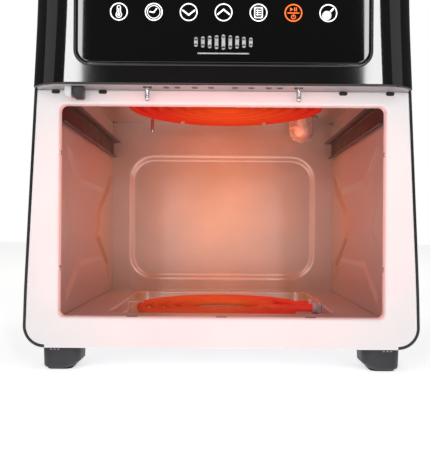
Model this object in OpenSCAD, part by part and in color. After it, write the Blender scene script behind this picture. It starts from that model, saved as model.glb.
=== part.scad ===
// Countertop air-fryer oven with a lift-off door: housing, oven liner, heaters,
// convection motor, controls, door catches and door switch, as separate pieces.
// Millimetres. +X right, +Y to the back, +Z up. The origin is on the surface that
// the oven stands on, at the centre of its plan.

/* [Housing] */
// Width of the housing at its widest, near the floor
body_w = 326.4; // [300:0.2:420]
// Depth from the front of the touch panel to the rear spacers
body_d = 322; // [280:1:400]
// Height from the floor to the top cover
body_h = 358; // [325:1:440]
// How far each side leans in on its way up
side_lean = 11.6; // [4:0.2:16]
// Wall of the moulded covers
shell_t = 2.2; // [1.8:0.1:3]
// Radius of the two lower corners, seen from the front
corner_r = 18; // [12:1:24]
// Radius of the two upper corners, seen from the front
top_r = 24; // [16:1:34]
// Height of the feet
foot_h = 19; // [14:0.5:26]
// Length of the rear spacers that keep the oven off the wall
spacer_l = 15; // [8:1:25]

/* [Front] */
// Thickness of the front frame
frame_t = 2.5; // [1.5:0.1:4]
// Frame width beside the oven's mouth, at the widest part of the housing
stile_w = 29.2; // [24:0.2:40]
// Frame height below the mouth
sill_h = 25.5; // [20:0.5:34]
// Frame height above the mouth
lintel_h = 12; // [9:0.5:18]
// Corner radius of the mouth
mouth_r = 5; // [3:0.5:12]
// Thickness of the flange folded in around the mouth
flange_t = 1.2; // [0.8:0.1:1.6]
// Depth of that flange behind the frame
flange_d = 6; // [4:0.5:10]

/* [Hood] */
// Height of the hood above the mouth's frame
head_h = 127; // [120:1:150]
// How far the hood stands out over the frame
hood_over = 19; // [16:1:26]
// Corner radius of the hood, seen from above
hood_r = 20; // [14:1:24]
// Length of the hood's sides behind the frame's face
hood_back = 15; // [10:1:30]
// Thickness of the plate that closes the hood from below
hood_floor_t = 1.5; // [1:0.1:2.5]

/* [Controls] */
// Height of the touch panel
panel_h = 90; // [84:1:94]
// Gap between the touch panel and the hood's rounded corner
panel_margin = 15.6; // [8:0.2:24]
// Thickness of the touch panel
panel_t = 3; // [2:0.2:4]
// How far the touch panel stands proud of the hood
panel_proud = 0.8; // [0.4:0.1:1.4]
// Width of the bezel around the touch panel
bezel_w = 2.4; // [1.6:0.2:4]
// Distance between neighbouring touch keys
key_pitch = 27.5; // [22:0.5:29]
// Outer radius of a touch key's ring
key_r = 7; // [5:0.25:9]
// Thickness of the printed marks
mark_t = 0.2; // [0.1:0.05:0.4]

/* [Oven liner] */
// Sheet thickness of the liner
liner_t = 0.8; // [0.6:0.1:1.2]
// Height of the ceiling above the mouth's upper edge
ceil_lift = 30; // [26:1:36]
// Space between the liner's back and the rear cover's outside
rear_gap = 30; // [26:1:40]
// Strip of floor in front of the heater well
well_front = 40; // [30:1:50]
// Strip of floor behind the heater well
well_rear = 17; // [12:1:30]
// Strip of floor beside the heater well
well_side = 35; // [28:1:50]
// Depth of the heater well
well_depth = 13.3; // [11:0.1:15]
// Depth of the pressed cross in the side walls
press_d = 2.5; // [1.5:0.1:4]

/* [Heaters and fan] */
// Radius of a heater's tube
tube_r = 3.75; // [3:0.25:4.5]
// Distance between the turns of the top heater
coil_pitch = 14; // [12:0.5:18]
// Radius at which the top heater's spiral starts
coil_in = 20; // [16:1:30]
// Strip of ceiling around the top heater
coil_margin = 30; // [26:0.5:45]
// Height of the fan dome above the ceiling
dome_h = 34.2; // [32:0.2:38]
// Radius of the motor's shaft
shaft_r = 3; // [2.5:0.25:4]
// Radial clearance of the shaft in its bushes
shaft_gap = 0.03; // [0.02:0.01:0.08]
// Radius of the cooling fan
cool_r = 55; // [45:1:58]

/* [Door catches] */
// Distance of each catch pin from the middle
catch_x = 61; // [50:1:80]
// Radius of a catch pin
catch_r = 2.15; // [1.8:0.05:3]
// Length of a catch pin below the hood
catch_l = 11; // [8:0.5:14]
// Upward travel of a catch pin
catch_travel = 6; // [4:0.5:7]
// Radial clearance of a sliding pin in its guide
slide_gap = 0.05; // [0.02:0.01:0.1]
// Upward travel of the door switch's plunger
plunger_travel = 3.5; // [2.5:0.5:4]

/* [Hidden] */

$fn = 64;
big = 1000;
arc_steps = 10;

// Depths, from the front to the back
front_y = -body_d / 2;
panel_y = front_y + mark_t;
hood_y = panel_y + panel_proud;
frame_y = hood_y + hood_over;
liner_y = frame_y + frame_t;
hood_back_y = frame_y + hood_back;
spacer_y = body_d / 2;
rear_y = spacer_y - spacer_l;
back_y = rear_y - rear_gap;
rear_cover_t = 1.6;

// Heights, from the floor up
head_z = body_h - head_h;
mouth_z0 = foot_h + sill_h;
mouth_z1 = head_z - lintel_h;
floor_z = mouth_z0 - flange_t;
ceil_z = mouth_z1 + ceil_lift;
seam_z = body_h - top_r;

// The sides: upright up to the lower knee, leaning in to the upper one, then upright
knee_lo = foot_h + 31;
knee_hi = body_h - 58;
function side_half(z) = body_w / 2
    - side_lean * (min(max(z, knee_lo), knee_hi) - knee_lo) / (knee_hi - knee_lo);
base_half = body_w / 2 - corner_r;

// The mouth and the cavity behind it
mouth_w = body_w - 2 * stile_w;
mouth_h = mouth_z1 - mouth_z0;
cav_half = mouth_w / 2 + flange_t;
cav_d = back_y - liner_y;
axis_y = (frame_y + back_y) / 2;

// Touch panel
panel_half = side_half(body_h) - hood_r - panel_margin;
panel_z0 = head_z + 17;
panel_z1 = panel_z0 + panel_h;
panel_r = 10.5;
key_z = panel_z0 + 40;
key_line = 1.2;
badge_z = panel_z0 + 16.5;
digit_z = panel_z0 + 58;

// Top heater, dome and motor, stacked on the ceiling
coil_r = min(cav_half, cav_d / 2) - coil_margin;
coil_half_turns = 2 * floor((coil_r - coil_in) / coil_pitch + 0.5);
strap_t = 0.8;
coil_z = ceil_z - strap_t - tube_r;
coil_end_x = coil_pitch / 4 + coil_in + (coil_half_turns - 1) * coil_pitch / 2;
return_z = ceil_z + 2;
dome_r = min(coil_r - 5, coil_end_x - tube_r - 3);
riser_x = dome_r - 8;
dome_z0 = ceil_z + liner_t;
dome_flange = 10;
dome_top_z = ceil_z + liner_t + dome_h;
hot_fan_r = dome_r - 17;
hot_fan_z = return_z + 2 * tube_r + 3.5;
hot_fan_h = 12;
cool_z = dome_top_z + 5;
cool_h = 12;
plate_z = cool_z + cool_h + 4;
plate_t = 1.5;
plate_half = cool_r + 15;
bush_r = shaft_r + 3;
stator_z = plate_z + plate_t;
stator_h = 22;
rotor_r = 13.7;
rotor_gap = 0.5;
shaft_z0 = hot_fan_z - 3;
shaft_z1 = stator_z + stator_h + 9.5;

// Lower heater in its well
well_half = cav_half - well_side;
well_y0 = frame_y + well_front;
well_y1 = back_y - well_rear;
well_mid_y = (well_y0 + well_y1) / 2;
well_z = floor_z - well_depth;
well_r = 14;
low_r = min(well_half - 14, axis_y - well_y0 - 6);
low_z = well_z + 8.5;
// Directions, seen from above, in which the runs of the lower heater are cut short
low_start = [24, 7];
low_turn = [4, 3];
low_end = [4, -3];
low_bend_r = coil_pitch / 2;
low_in_r = low_r - 3 * coil_pitch;
lead_x = low_r * low_start[0] / norm(low_start);
lead_y = low_r * low_start[1] / norm(low_start);
block_x = well_half - 4;

// Rack rails
rail_z0 = mouth_z1 - 13;
rail_h = 19;
rail_t = 1.2;
rail_top_w = 10.5;
rail_low_w = 4.6;
rail_ridge_z = rail_z0 - 8;

// Lamp and probe, set out from the cavity's rear corners
lamp_x = cav_half - 43.7;
lamp_y = back_y - 45;
lamp_r = 14.5;
lamp_drop = 30;
probe_x = -(cav_half - 54.7);
probe_y = back_y - 57;
probe_r = 2;
probe_drop = 21;

// Door catches and door switch
catch_y = frame_y - 9;
guide_z = head_z + hood_floor_t;
guide_wall_z = 5.5;
guide_r = 7;
guide_in = 5.3;
collar_z = guide_z + guide_wall_z + 0.2;
collar_t = 2;
spring_l = catch_travel + 8;
cap_z = collar_z + collar_t + spring_l + 0.4;
cap_t = 2;
stem_r = 1.5;
lock_x = -(side_half(head_z) - 38.8);
lock_y = frame_y - 9;
lock_w = 8;
lock_drop = 9.6;
lock_stem_r = 2.5;
lobe_gap = 1.3;
lobe_w = 5.3;
lock_guide_z = guide_z + plunger_travel + 0.5;
lock_guide_h = 5;
lock_collar_z = lock_guide_z + lock_guide_h + 0.2;
lock_collar_t = 1.5;
lock_spring_l = plunger_travel + 5;
lock_cap_z = lock_collar_z + lock_collar_t + lock_spring_l + 0.4;

// Feet
foot_edge = body_w / 2 - 148.8;
foot_w = 31.5;
foot_d = 33;
foot_x = body_w / 2 - foot_edge - foot_w / 2;
foot_y0 = frame_y + 4;
foot_y1 = rear_y - 6 - foot_d;
foot_r = 9;
pad_t = 1.4;
foot_chamfer = 5.5;

// Rear cover: vents, gland and board
vent_w = 5;
vent_l = 30;
vent_pitch = 12;
gland_x = side_half(foot_h) - 50;
gland_z = foot_h + 36;
gland_bore_r = 3.75;
gland_r = 8;
gland_out = 5;
screw_r = 3.2;
screw_t = 1.6;

// ---------------------------------------------------------------- helpers
function arc_pts(c, r, a0, a1) = [
    for (i = [0 : arc_steps])
        let (a = a0 + (a1 - a0) * i / arc_steps)
            [c[0] + r * cos(a), c[1] + r * sin(a)]
];

function right_side(inset) = concat(
    arc_pts([base_half, foot_h + corner_r], corner_r - inset, -90, 0),
    [[side_half(knee_lo) - inset, knee_lo], [side_half(knee_hi) - inset, knee_hi]],
    arc_pts([side_half(body_h) - top_r, body_h - top_r], top_r - inset, 0, 90)
);

function mirrored(pts) = [for (i = [len(pts) - 1 : -1 : 0]) [-pts[i][0], pts[i][1]]];

// Front view of the housing, moved in by inset
module outline(inset) {
    polygon(concat(right_side(inset), mirrored(right_side(inset))));
}

// A front-view shape made solid from y0 to y1
module along(y0, y1) {
    translate([0, y1, 0]) rotate([90, 0, 0]) linear_extrude(y1 - y0) children();
}

// A side-view shape (y, z) made solid from x0 to x1
module across(x0, x1) {
    translate([x0, 0, 0]) rotate([90, 0, 90]) linear_extrude(x1 - x0) children();
}

// The front-view strip between two heights
module strip(z0, z1) {
    translate([-big / 2, z0]) square([big, z1 - z0]);
}

// Rounded rectangle about the centre
module rounded(w, h, r) {
    square([w - 2 * r, h], center = true);
    square([w, h - 2 * r], center = true);
    for (sx = [-1, 1])
        for (sy = [-1, 1])
            translate([sx * (w / 2 - r), sy * (h / 2 - r)]) circle(r);
}

module block(x0, x1, y0, y1, z0, z1) {
    translate([x0, y0, z0]) cube([x1 - x0, y1 - y0, z1 - z0]);
}

module post(x, y, z0, z1, r) {
    translate([x, y, z0]) cylinder(h = z1 - z0, r = r);
}

module tube_x(x0, x1, y, z, r) {
    translate([x0, y, z]) rotate([0, 90, 0]) cylinder(h = x1 - x0, r = r);
}

module tube_y(x, y0, y1, z, r) {
    translate([x, y1, z]) rotate([90, 0, 0]) cylinder(h = y1 - y0, r = r);
}

// ---------------------------------------------------------------- housing
module shell_ring() {
    difference() {
        outline(0);
        outline(shell_t);
    }
}

module side_cover(side) {
    x0 = side > 0 ? base_half : -big;
    difference() {
        along(frame_y, rear_y) intersection() {
            shell_ring();
            translate([x0, 0]) square([big - base_half, seam_z]);
        }
        block(-big, big, frame_y - 1, hood_back_y, head_z, body_h);
    }
}

module side_cover_left() {
    color("#17181a") side_cover(-1);
}

module side_cover_right() {
    color("#17181a") side_cover(1);
}

module top_cover() {
    color("#17181a") along(hood_back_y, rear_y) intersection() {
        shell_ring();
        strip(seam_z, body_h + 1);
    }
}

module rear_cover() {
    vents = floor(2 * (side_half(body_h) - 30) / vent_pitch / 2);
    color("#26282b") difference() {
        union() {
            along(rear_y - rear_cover_t, rear_y) outline(shell_t);
            for (s = [-1, 1])
                along(rear_y, spacer_y)
                    translate([s * (side_half(seam_z) - 52), ceil_z + 22]) rounded(34, 12, 5);
        }
        for (i = [-vents : vents]) {
            x = i * vent_pitch;
            block(x - vent_w / 2, x + vent_w / 2, rear_y - rear_cover_t - 1, rear_y + 1,
                seam_z - 4 - vent_l, seam_z - 4);
            if (x < gland_x - 20)
                block(x - vent_w / 2, x + vent_w / 2, rear_y - rear_cover_t - 1, rear_y + 1,
                    foot_h + 18, foot_h + 18 + vent_l);
        }
        tube_y(gland_x, rear_y - rear_cover_t - 1, rear_y + 1, gland_z, gland_r - 2);
    }
}

module base_plate() {
    slots = floor((base_half - 40) / vent_pitch);
    color("#8d8f92") difference() {
        block(-base_half, base_half, liner_y, rear_y, foot_h, foot_h + shell_t);
        for (i = [-slots : slots])
            block(i * vent_pitch - 2, i * vent_pitch + 2, well_mid_y - 30, well_mid_y + 30,
                foot_h - 1, foot_h + shell_t + 1);
    }
}

// ---------------------------------------------------------------- front frame
module mouth(grow) {
    translate([0, (mouth_z0 + mouth_z1) / 2])
        rounded(mouth_w + 2 * grow, mouth_h + 2 * grow, mouth_r + grow);
}

module front_frame() {
    color("#dfe0e2") {
        along(frame_y, liner_y) difference() {
            union() {
                intersection() {
                    outline(shell_t);
                    strip(foot_h, head_z);
                }
                translate([-base_half, foot_h]) square([2 * base_half, 2 * shell_t]);
            }
            mouth(0);
        }
        along(liner_y, liner_y + flange_d) difference() {
            mouth(flange_t);
            mouth(0);
        }
    }
}

// ---------------------------------------------------------------- hood
// Plan of the hood, moved in by inset
module hood_plan(inset, half, y1) {
    r = hood_r - inset;
    for (s = [-1, 1])
        translate([s * (half - hood_r), hood_y + hood_r]) circle(r);
    translate([-(half - hood_r), hood_y + inset]) square([2 * (half - hood_r), y1 - hood_y - inset]);
    translate([-(half - inset), hood_y + hood_r]) square([2 * (half - inset), y1 - hood_y - hood_r]);
}

// Side view of the hood with its rounded upper front edge
module hood_side(inset, y1) {
    r = top_r - 4 - inset;
    cy = hood_y + top_r - 4;
    cz = body_h - top_r + 4;
    translate([cy, cz]) circle(r);
    translate([hood_y + inset, 0]) square([y1 - hood_y - inset, cz]);
    translate([cy, 0]) square([y1 - cy, body_h - inset]);
}

module hood_solid(inset, y1) {
    lift = inset > 0 ? -1 : 0;
    intersection() {
        along(hood_y - 1, y1) intersection() {
            outline(inset);
            strip(head_z + lift, body_h);
        }
        translate([0, 0, head_z + lift]) linear_extrude(body_h - head_z + 2)
            hood_plan(inset, side_half(head_z), y1);
        across(-body_w, body_w) hood_side(inset, y1);
    }
}

module panel_shape(grow) {
    translate([0, (panel_z0 + panel_z1) / 2])
        rounded(2 * (panel_half + grow), panel_h + 2 * grow, panel_r + grow);
}

module hood_front() {
    color("#0d0d0f") difference() {
        hood_solid(0, hood_back_y);
        hood_solid(shell_t, hood_back_y + 1);
        along(hood_y - 1, hood_y + shell_t + 1) panel_shape(bezel_w);
    }
}

module hood_floor() {
    vents = [9.6, 23, 37, 46];
    screws = [100, 138];
    half = side_half(head_z);
    color("#8f9093") difference() {
        intersection() {
            translate([0, 0, head_z]) linear_extrude(hood_floor_t)
                hood_plan(shell_t, half, liner_y);
            along(hood_y, liner_y) outline(shell_t);
        }
        for (s = [-1, 1]) {
            for (x = vents)
                block(s * x - 2.1, s * x + 2.1, catch_y - 6, catch_y + 4, head_z - 1, guide_z + 1);
            for (x = screws)
                post(s * min(x, half - 12), catch_y + 3, head_z - 1, guide_z + 1, 1.8);
            post(s * catch_x, catch_y, head_z - 1, guide_z + 1, catch_r + 0.4);
        }
        block(lock_x - lock_w / 2 - 0.5, lock_x + lock_w / 2 + 0.5, lock_y - 5.5, lock_y + 5.5,
            head_z - 1, guide_z + 1);
    }
}

// ---------------------------------------------------------------- controls
module touch_panel() {
    color("#08080a") along(panel_y, panel_y + panel_t) panel_shape(0);
}

module panel_bezel() {
    color("#1b1c1f") along(hood_y - panel_proud / 2, hood_y + shell_t) difference() {
        panel_shape(bezel_w);
        panel_shape(0);
    }
}

module key_ring(k) {
    translate([k * key_pitch, key_z]) difference() {
        circle(key_r);
        circle(key_r - key_line);
    }
}

module bar(x, z, w, h, a) {
    translate([x, z]) rotate(a) square([w, h], center = true);
}

// Two strokes meeting in a point, up or down
module chevron(x, z, dir) {
    for (s = [-1, 1])
        bar(x + s * 1.8, z, 5, key_line, -s * dir * 40);
}

module control_icons() {
    color("#f2f2f2") along(front_y, panel_y) {
        for (k = [-3, -2, -1, 0, 1, 3])
            key_ring(k);
        bar(-3 * key_pitch, key_z, key_line, 7, 0);
        bar(-2 * key_pitch, key_z + 1.5, key_line, 4, 0);
        bar(-2 * key_pitch + 1.3, key_z, 3, key_line, 0);
        chevron(-key_pitch, key_z, -1);
        chevron(0, key_z, 1);
        for (row = [-1, 0, 1])
            bar(key_pitch, key_z + row * 2.4, 5.4, 1, 0);
        translate([3 * key_pitch - 0.6, key_z - 0.4]) circle(2.6);
        bar(3 * key_pitch + 2.4, key_z + 2.4, 3, key_line, 45);
    }
}

module start_icon() {
    color("#ff7a1a") along(front_y, panel_y) {
        key_ring(2);
        bar(2 * key_pitch, key_z, 8, 0.9, 0);
        bar(2 * key_pitch - 1.5, key_z + 2.4, 1.1, 2.6, 0);
        bar(2 * key_pitch + 1.5, key_z + 2.4, 1.1, 2.6, 0);
        bar(2 * key_pitch, key_z - 2.4, 3, 2, 0);
    }
}

module badge() {
    color("#c9cacc") along(front_y, panel_y)
        for (k = [-2 : 2])
            translate([k * 6, badge_z]) rounded(3, 17 - 3 * abs(k), 1.4);
}

// One figure of a seven-segment display; lit lists its segments
module figure(x, lit) {
    w = 9;
    h = 8;
    t = 1.6;
    seats = [[0, h, 0], [w / 2, h / 2, 1], [w / 2, -h / 2, 1], [0, -h, 0],
        [-w / 2, -h / 2, 1], [-w / 2, h / 2, 1], [0, 0, 0]];
    for (k = lit)
        translate([x + seats[k][0], digit_z + 6 + seats[k][1]])
            square(seats[k][2] == 1 ? [t, h - t - 0.6] : [w - t - 0.6, t], center = true);
}

module display_digits() {
    color("#f7f7f2") along(front_y, panel_y) {
        figure(-28, [1, 2]);
        figure(-12, [0, 2, 3, 5, 6]);
        figure(12, [0, 1, 2, 3, 4, 5]);
        figure(28, [0, 1, 2, 3, 4, 5]);
        for (s = [-1, 1])
            translate([0, digit_z + 6 + s * 3.4]) circle(1);
    }
}

module control_board() {
    board_y = panel_y + panel_t + 7;
    board_z0 = max(cap_z + cap_t, lock_cap_z + 6.5 + plunger_travel + 10) + 5;
    post_x = panel_half - 16;
    color("#1e5c34") {
        block(-panel_half + 8, panel_half - 8, board_y, board_y + 1.6, board_z0, panel_z1 - 5);
        for (sx = [-1, 1])
            for (z = [board_z0 + 7, panel_z1 - 12])
                tube_y(sx * post_x, panel_y + panel_t, board_y, z, 2.5);
        block(-20, 20, board_y + 1.6, board_y + 7, board_z0 + 12, panel_z1 - 20);
    }
}

// ---------------------------------------------------------------- oven liner
// Outline of the cross pressed into a side wall, in depth and height
function cross_pts(g) =
    let (y0 = liner_y + 22 + g, y1 = back_y - 18 - g,
        z0 = floor_z + 14 + g, z1 = rail_ridge_z - 8 - g,
        ym = (y0 + y1) / 2, zm = (z0 + z1) / 2,
        arm = 14 - g, waist = 0.3 * (y1 - y0), throat = 0.2 * (z1 - z0))
    [[y0, z0], [y0 + arm, z0], [ym - arm, z0 + throat], [ym + arm, z0 + throat],
        [y1 - arm, z0], [y1, z0], [y1, z0 + arm], [y1 - waist, zm - arm],
        [y1 - waist, zm + arm], [y1, z1 - arm], [y1, z1], [y1 - arm, z1],
        [ym + arm, z1 - throat], [ym - arm, z1 - throat], [y0 + arm, z1], [y0, z1],
        [y0, z1 - arm], [y0 + waist / 2, zm + arm], [y0 + waist / 2, zm - arm], [y0, z0 + arm]];

// A side wall; its cross is pressed away from the cavity
module liner_side(side) {
    scale([side, 1, 1]) difference() {
        union() {
            block(cav_half, cav_half + liner_t, liner_y, back_y, floor_z - liner_t, ceil_z);
            across(cav_half, cav_half + press_d + liner_t) polygon(cross_pts(-liner_t));
        }
        across(cav_half - 1, cav_half + press_d) polygon(cross_pts(0));
    }
}

module liner_left() {
    color("#a3a4a7") mirror([1, 0, 0]) liner_side(1);
}

module liner_right() {
    color("#a3a4a7") liner_side(1);
}

module liner_back() {
    half = cav_half + liner_t;
    rim = 23;
    mid_z = (floor_z + rail_z0) / 2 + 8;
    color("#a3a4a7") difference() {
        union() {
            block(-half, half, back_y, back_y + liner_t, floor_z - liner_t, ceil_z);
            along(back_y, back_y + press_d + liner_t)
                translate([0, mid_z]) rounded(2 * (cav_half - rim), rail_z0 - floor_z - 16, 27);
        }
        along(back_y - 1, back_y + press_d)
            translate([0, mid_z])
                rounded(2 * (cav_half - rim - liner_t), rail_z0 - floor_z - 16 - 2 * liner_t,
                    27 - liner_t);
    }
}

module liner_ceiling() {
    half = cav_half + liner_t;
    color("#a3a4a7") difference() {
        union() {
            block(-half, half, liner_y, back_y + liner_t, ceil_z, ceil_z + liner_t);
            block(-cav_half, cav_half, liner_y, liner_y + liner_t, mouth_z1 + 2 * flange_t, ceil_z);
        }
        post(0, axis_y, ceil_z - 1, ceil_z + 2, dome_r);
        post(coil_end_x, axis_y, ceil_z - 1, ceil_z + 2, tube_r + 1);
        post(lamp_x, lamp_y, ceil_z - 1, ceil_z + 2, lamp_r - 3);
        post(probe_x, probe_y, ceil_z - 1, ceil_z + 2, probe_r);
    }
}

module well_plan(grow) {
    translate([0, well_mid_y])
        rounded(2 * (well_half + grow), well_y1 - well_y0 + 2 * grow, well_r + grow);
}

module liner_floor() {
    color("#a3a4a7") translate([0, 0, floor_z - liner_t]) linear_extrude(liner_t) difference() {
        translate([-cav_half, liner_y]) square([2 * cav_half, back_y - liner_y]);
        well_plan(0);
    }
}

module heater_well() {
    lip = 6;
    color("#8a8b8e") {
        translate([0, 0, well_z - liner_t]) linear_extrude(liner_t) well_plan(liner_t);
        translate([0, 0, well_z]) linear_extrude(well_depth - 2 * liner_t) difference() {
            well_plan(liner_t);
            well_plan(0);
        }
        translate([0, 0, floor_z - 2 * liner_t]) linear_extrude(liner_t) difference() {
            well_plan(lip);
            well_plan(0);
        }
    }
}

module rail(side) {
    out = side * cav_half;
    web = side * (cav_half - rail_t);
    top_in = side * (cav_half - rail_top_w);
    low_in = side * (cav_half - rail_low_w);
    z1 = rail_z0 + rail_h;
    along(liner_y + flange_d + 1, back_y - 3) {
        polygon([[out, rail_z0], [low_in, rail_z0], [low_in, rail_z0 + rail_t],
            [web, rail_z0 + rail_t], [web, z1 - rail_t], [top_in, z1 - rail_t],
            [top_in, z1], [out, z1]]);
    }
}

module rail_left() {
    color("#2b2a2c") rail(-1);
}

module rail_right() {
    color("#2b2a2c") rail(1);
}

// ---------------------------------------------------------------- heaters
// Half turns on two centres, a quarter pitch either side of the axis, meet as a spiral
module top_heater() {
    color("#e8321a") {
        for (i = [0 : coil_half_turns - 1]) {
            odd = i % 2;
            translate([(odd - 0.5) * coil_pitch / 2, axis_y, coil_z]) rotate([0, 0, 180 * (1 - odd)])
                rotate_extrude(angle = 180)
                    translate([coil_in + i * coil_pitch / 2, 0]) circle(tube_r);
        }
        post(coil_end_x, axis_y, coil_z, ceil_z + 16, tube_r);
        post(coil_in - coil_pitch / 4, axis_y, coil_z, return_z + tube_r, tube_r);
        tube_x(-riser_x, coil_in - coil_pitch / 4, axis_y, return_z + tube_r, tube_r);
        post(-riser_x, axis_y, return_z + tube_r, dome_top_z + 8, tube_r);
    }
}

module top_heater_brackets() {
    color("#9b9c9f")
        for (a = [60, 120, 240, 300])
            translate([0, axis_y, 0]) rotate([0, 0, a])
                block(coil_in, coil_r + 7, -3, 3, ceil_z - strap_t, ceil_z);
}

// A run of the tube right round the well, less the sector between two directions
module low_run(r, from, to) {
    difference() {
        translate([0, axis_y, low_z]) rotate_extrude() translate([r, 0]) circle(tube_r);
        translate([0, axis_y, well_z]) linear_extrude(2 * well_depth)
            polygon([[0, 0], 40 * from, 40 * to]);
    }
}

// Half turn that joins two neighbouring runs about the radius r
module hairpin(r, dir, turn) {
    mid = r / norm(dir) * dir;
    translate([mid[0], axis_y + mid[1], low_z]) rotate([0, 0, atan2(dir[1], dir[0]) + turn])
        rotate_extrude(angle = 180) translate([low_bend_r, 0]) circle(tube_r);
}

// One tube: in at the right, four runs round the well and out beside its start
module lower_heater() {
    color("#f0501e") {
        low_run(low_r, low_end, low_start);
        low_run(low_r - coil_pitch, low_end, low_turn);
        low_run(low_r - 2 * coil_pitch, low_end, low_turn);
        low_run(low_in_r, low_end, [4, 0]);
        hairpin(low_r - low_bend_r, low_end, 0);
        hairpin(low_r - coil_pitch - low_bend_r, low_turn, 180);
        hairpin(low_in_r + low_bend_r, low_end, 0);
        translate([low_in_r + low_bend_r, axis_y, low_z]) rotate([0, 0, 180])
            rotate_extrude(angle = 90) translate([low_bend_r, 0]) circle(tube_r);
        tube_x(low_in_r + low_bend_r, block_x + 1, axis_y - low_bend_r, low_z, tube_r);
        tube_x(lead_x - 1, block_x + 1, axis_y + lead_y, low_z, tube_r);
    }
}

// Strap over the left of the ring, standing on the well's floor
module lower_heater_bracket() {
    color("#c9cacc") difference() {
        block(-low_r - 13, -low_r + 3, axis_y - 2, axis_y + 2, well_z, floor_z);
        translate([0, axis_y, low_z]) rotate_extrude() translate([low_r, 0]) circle(tube_r);
    }
}

module lower_terminal_block() {
    color("#d9d5cc") difference() {
        block(block_x, well_half, axis_y - low_bend_r - 10, axis_y + lead_y + 10, well_z, floor_z + 3);
        for (y = [-low_bend_r, lead_y])
            tube_x(block_x - 1, block_x + 1, axis_y + y, low_z, tube_r);
    }
}

// ---------------------------------------------------------------- fan and motor
module fan_dome() {
    t = liner_t;
    color("#97989b") difference() {
        translate([0, axis_y, 0]) rotate_extrude()
            polygon([[dome_r, dome_z0], [dome_r + dome_flange, dome_z0],
                [dome_r + dome_flange, dome_z0 + t], [dome_r + t, dome_z0 + t],
                [dome_r + t, dome_top_z], [shaft_r + 5, dome_top_z],
                [shaft_r + 5, dome_top_z - t], [dome_r, dome_top_z - t]]);
        post(coil_end_x, axis_y, dome_z0 - 1, dome_z0 + 2, tube_r + 1);
        post(-riser_x, axis_y, dome_top_z - 2, dome_top_z + 1, tube_r + 1);
    }
}

// Disc with straight blades below it, on a hub
module fan(r, z, h, blades, root) {
    difference() {
        union() {
            post(0, axis_y, z + h - 1, z + h, r);
            post(0, axis_y, z, z + h, shaft_r + 4);
            for (i = [0 : blades - 1])
                translate([0, axis_y, z]) rotate([0, 0, 360 * i / blades])
                    translate([root, -0.5, 0]) cube([r - root - 1, 1, h]);
        }
        post(0, axis_y, z - 1, z + h + 1, shaft_r);
    }
}

module hot_fan() {
    color("#b4b5b8") fan(hot_fan_r, hot_fan_z, hot_fan_h, 12, 16);
}

module cooling_fan() {
    color("#b4b5b8") fan(cool_r, cool_z, cool_h, 10, 14);
}

module motor_shaft() {
    color("#c2c3c6") post(0, axis_y, shaft_z0, shaft_z1, shaft_r);
}

module motor_rotor() {
    color("#7c7d80") difference() {
        post(0, axis_y, stator_z + 2, stator_z + stator_h - 2, rotor_r);
        post(0, axis_y, stator_z, stator_z + stator_h, shaft_r);
    }
}

// Bridge over the cooling fan that carries the motor
module motor_plate() {
    w = 18;
    color("#a9aaad") difference() {
        union() {
            block(-plate_half, plate_half, axis_y - w, axis_y + w, plate_z, plate_z + plate_t);
            for (s = [-1, 1])
                translate([s * (plate_half - plate_t / 2), axis_y, 0])
                    block(-plate_t / 2, plate_t / 2, -w, w, dome_top_z, plate_z + plate_t);
        }
        post(0, axis_y, plate_z - 1, plate_z + plate_t + 1, bush_r);
    }
}

module motor_stator() {
    top = stator_z + stator_h;
    color("#6b6c70") difference() {
        union() {
            block(-32, 32, axis_y - 28, axis_y + 28, stator_z, top);
            block(-32, 32, axis_y - 10, axis_y + 10, top, top + plate_t);
            block(32, 44, axis_y - 18, axis_y + 18, stator_z + 3, top - 3);
        }
        post(0, axis_y, stator_z - 1, top, rotor_r + rotor_gap);
        post(0, axis_y, top - 1, top + plate_t + 1, bush_r);
    }
}

module bush(z0, z1) {
    color("#b58a48") difference() {
        post(0, axis_y, z0, z1, bush_r);
        post(0, axis_y, z0 - 1, z1 + 1, shaft_r + shaft_gap);
    }
}

module lower_bush() {
    bush(plate_z - 2, stator_z + 1);
}

module upper_bush() {
    bush(stator_z + stator_h - 1, stator_z + stator_h + 6);
}

// ---------------------------------------------------------------- lamp and sensors
module lamp_glass() {
    z0 = ceil_z - lamp_drop;
    t = 1.6;
    color("#f3d9d2") difference() {
        union() {
            translate([lamp_x, lamp_y, z0 + lamp_r]) sphere(lamp_r);
            post(lamp_x, lamp_y, z0 + lamp_r, ceil_z, lamp_r);
        }
        translate([lamp_x, lamp_y, z0 + lamp_r]) sphere(lamp_r - t);
        post(lamp_x, lamp_y, z0 + lamp_r, ceil_z + 1, lamp_r - t);
    }
}

module lamp_bulb() {
    color("#ffe9c0") {
        translate([lamp_x, lamp_y, ceil_z - lamp_drop + lamp_r]) sphere(8);
        post(lamp_x, lamp_y, ceil_z - lamp_drop + lamp_r, ceil_z + 12, 5);
    }
}

module lamp_socket() {
    color("#e5e1d8") difference() {
        post(lamp_x, lamp_y, ceil_z + liner_t, ceil_z + 26, lamp_r);
        post(lamp_x, lamp_y, ceil_z, ceil_z + 12, 5);
    }
}

module temperature_probe() {
    color("#b9babd") {
        post(probe_x, probe_y, ceil_z - probe_drop, ceil_z + 14, probe_r);
        post(probe_x, probe_y, ceil_z + liner_t, ceil_z + 3, probe_r + 2);
    }
}

module thermal_cutout() {
    color("#2b2422") translate([0, axis_y, 0]) rotate([0, 0, 90]) {
        post(cool_r + 14, 0, dome_top_z, dome_top_z + 7, 8);
        for (s = [-1, 1])
            block(cool_r + 12, cool_r + 16, s * 4 - 0.4, s * 4 + 0.4, dome_top_z + 7, dome_top_z + 14);
    }
}

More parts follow.
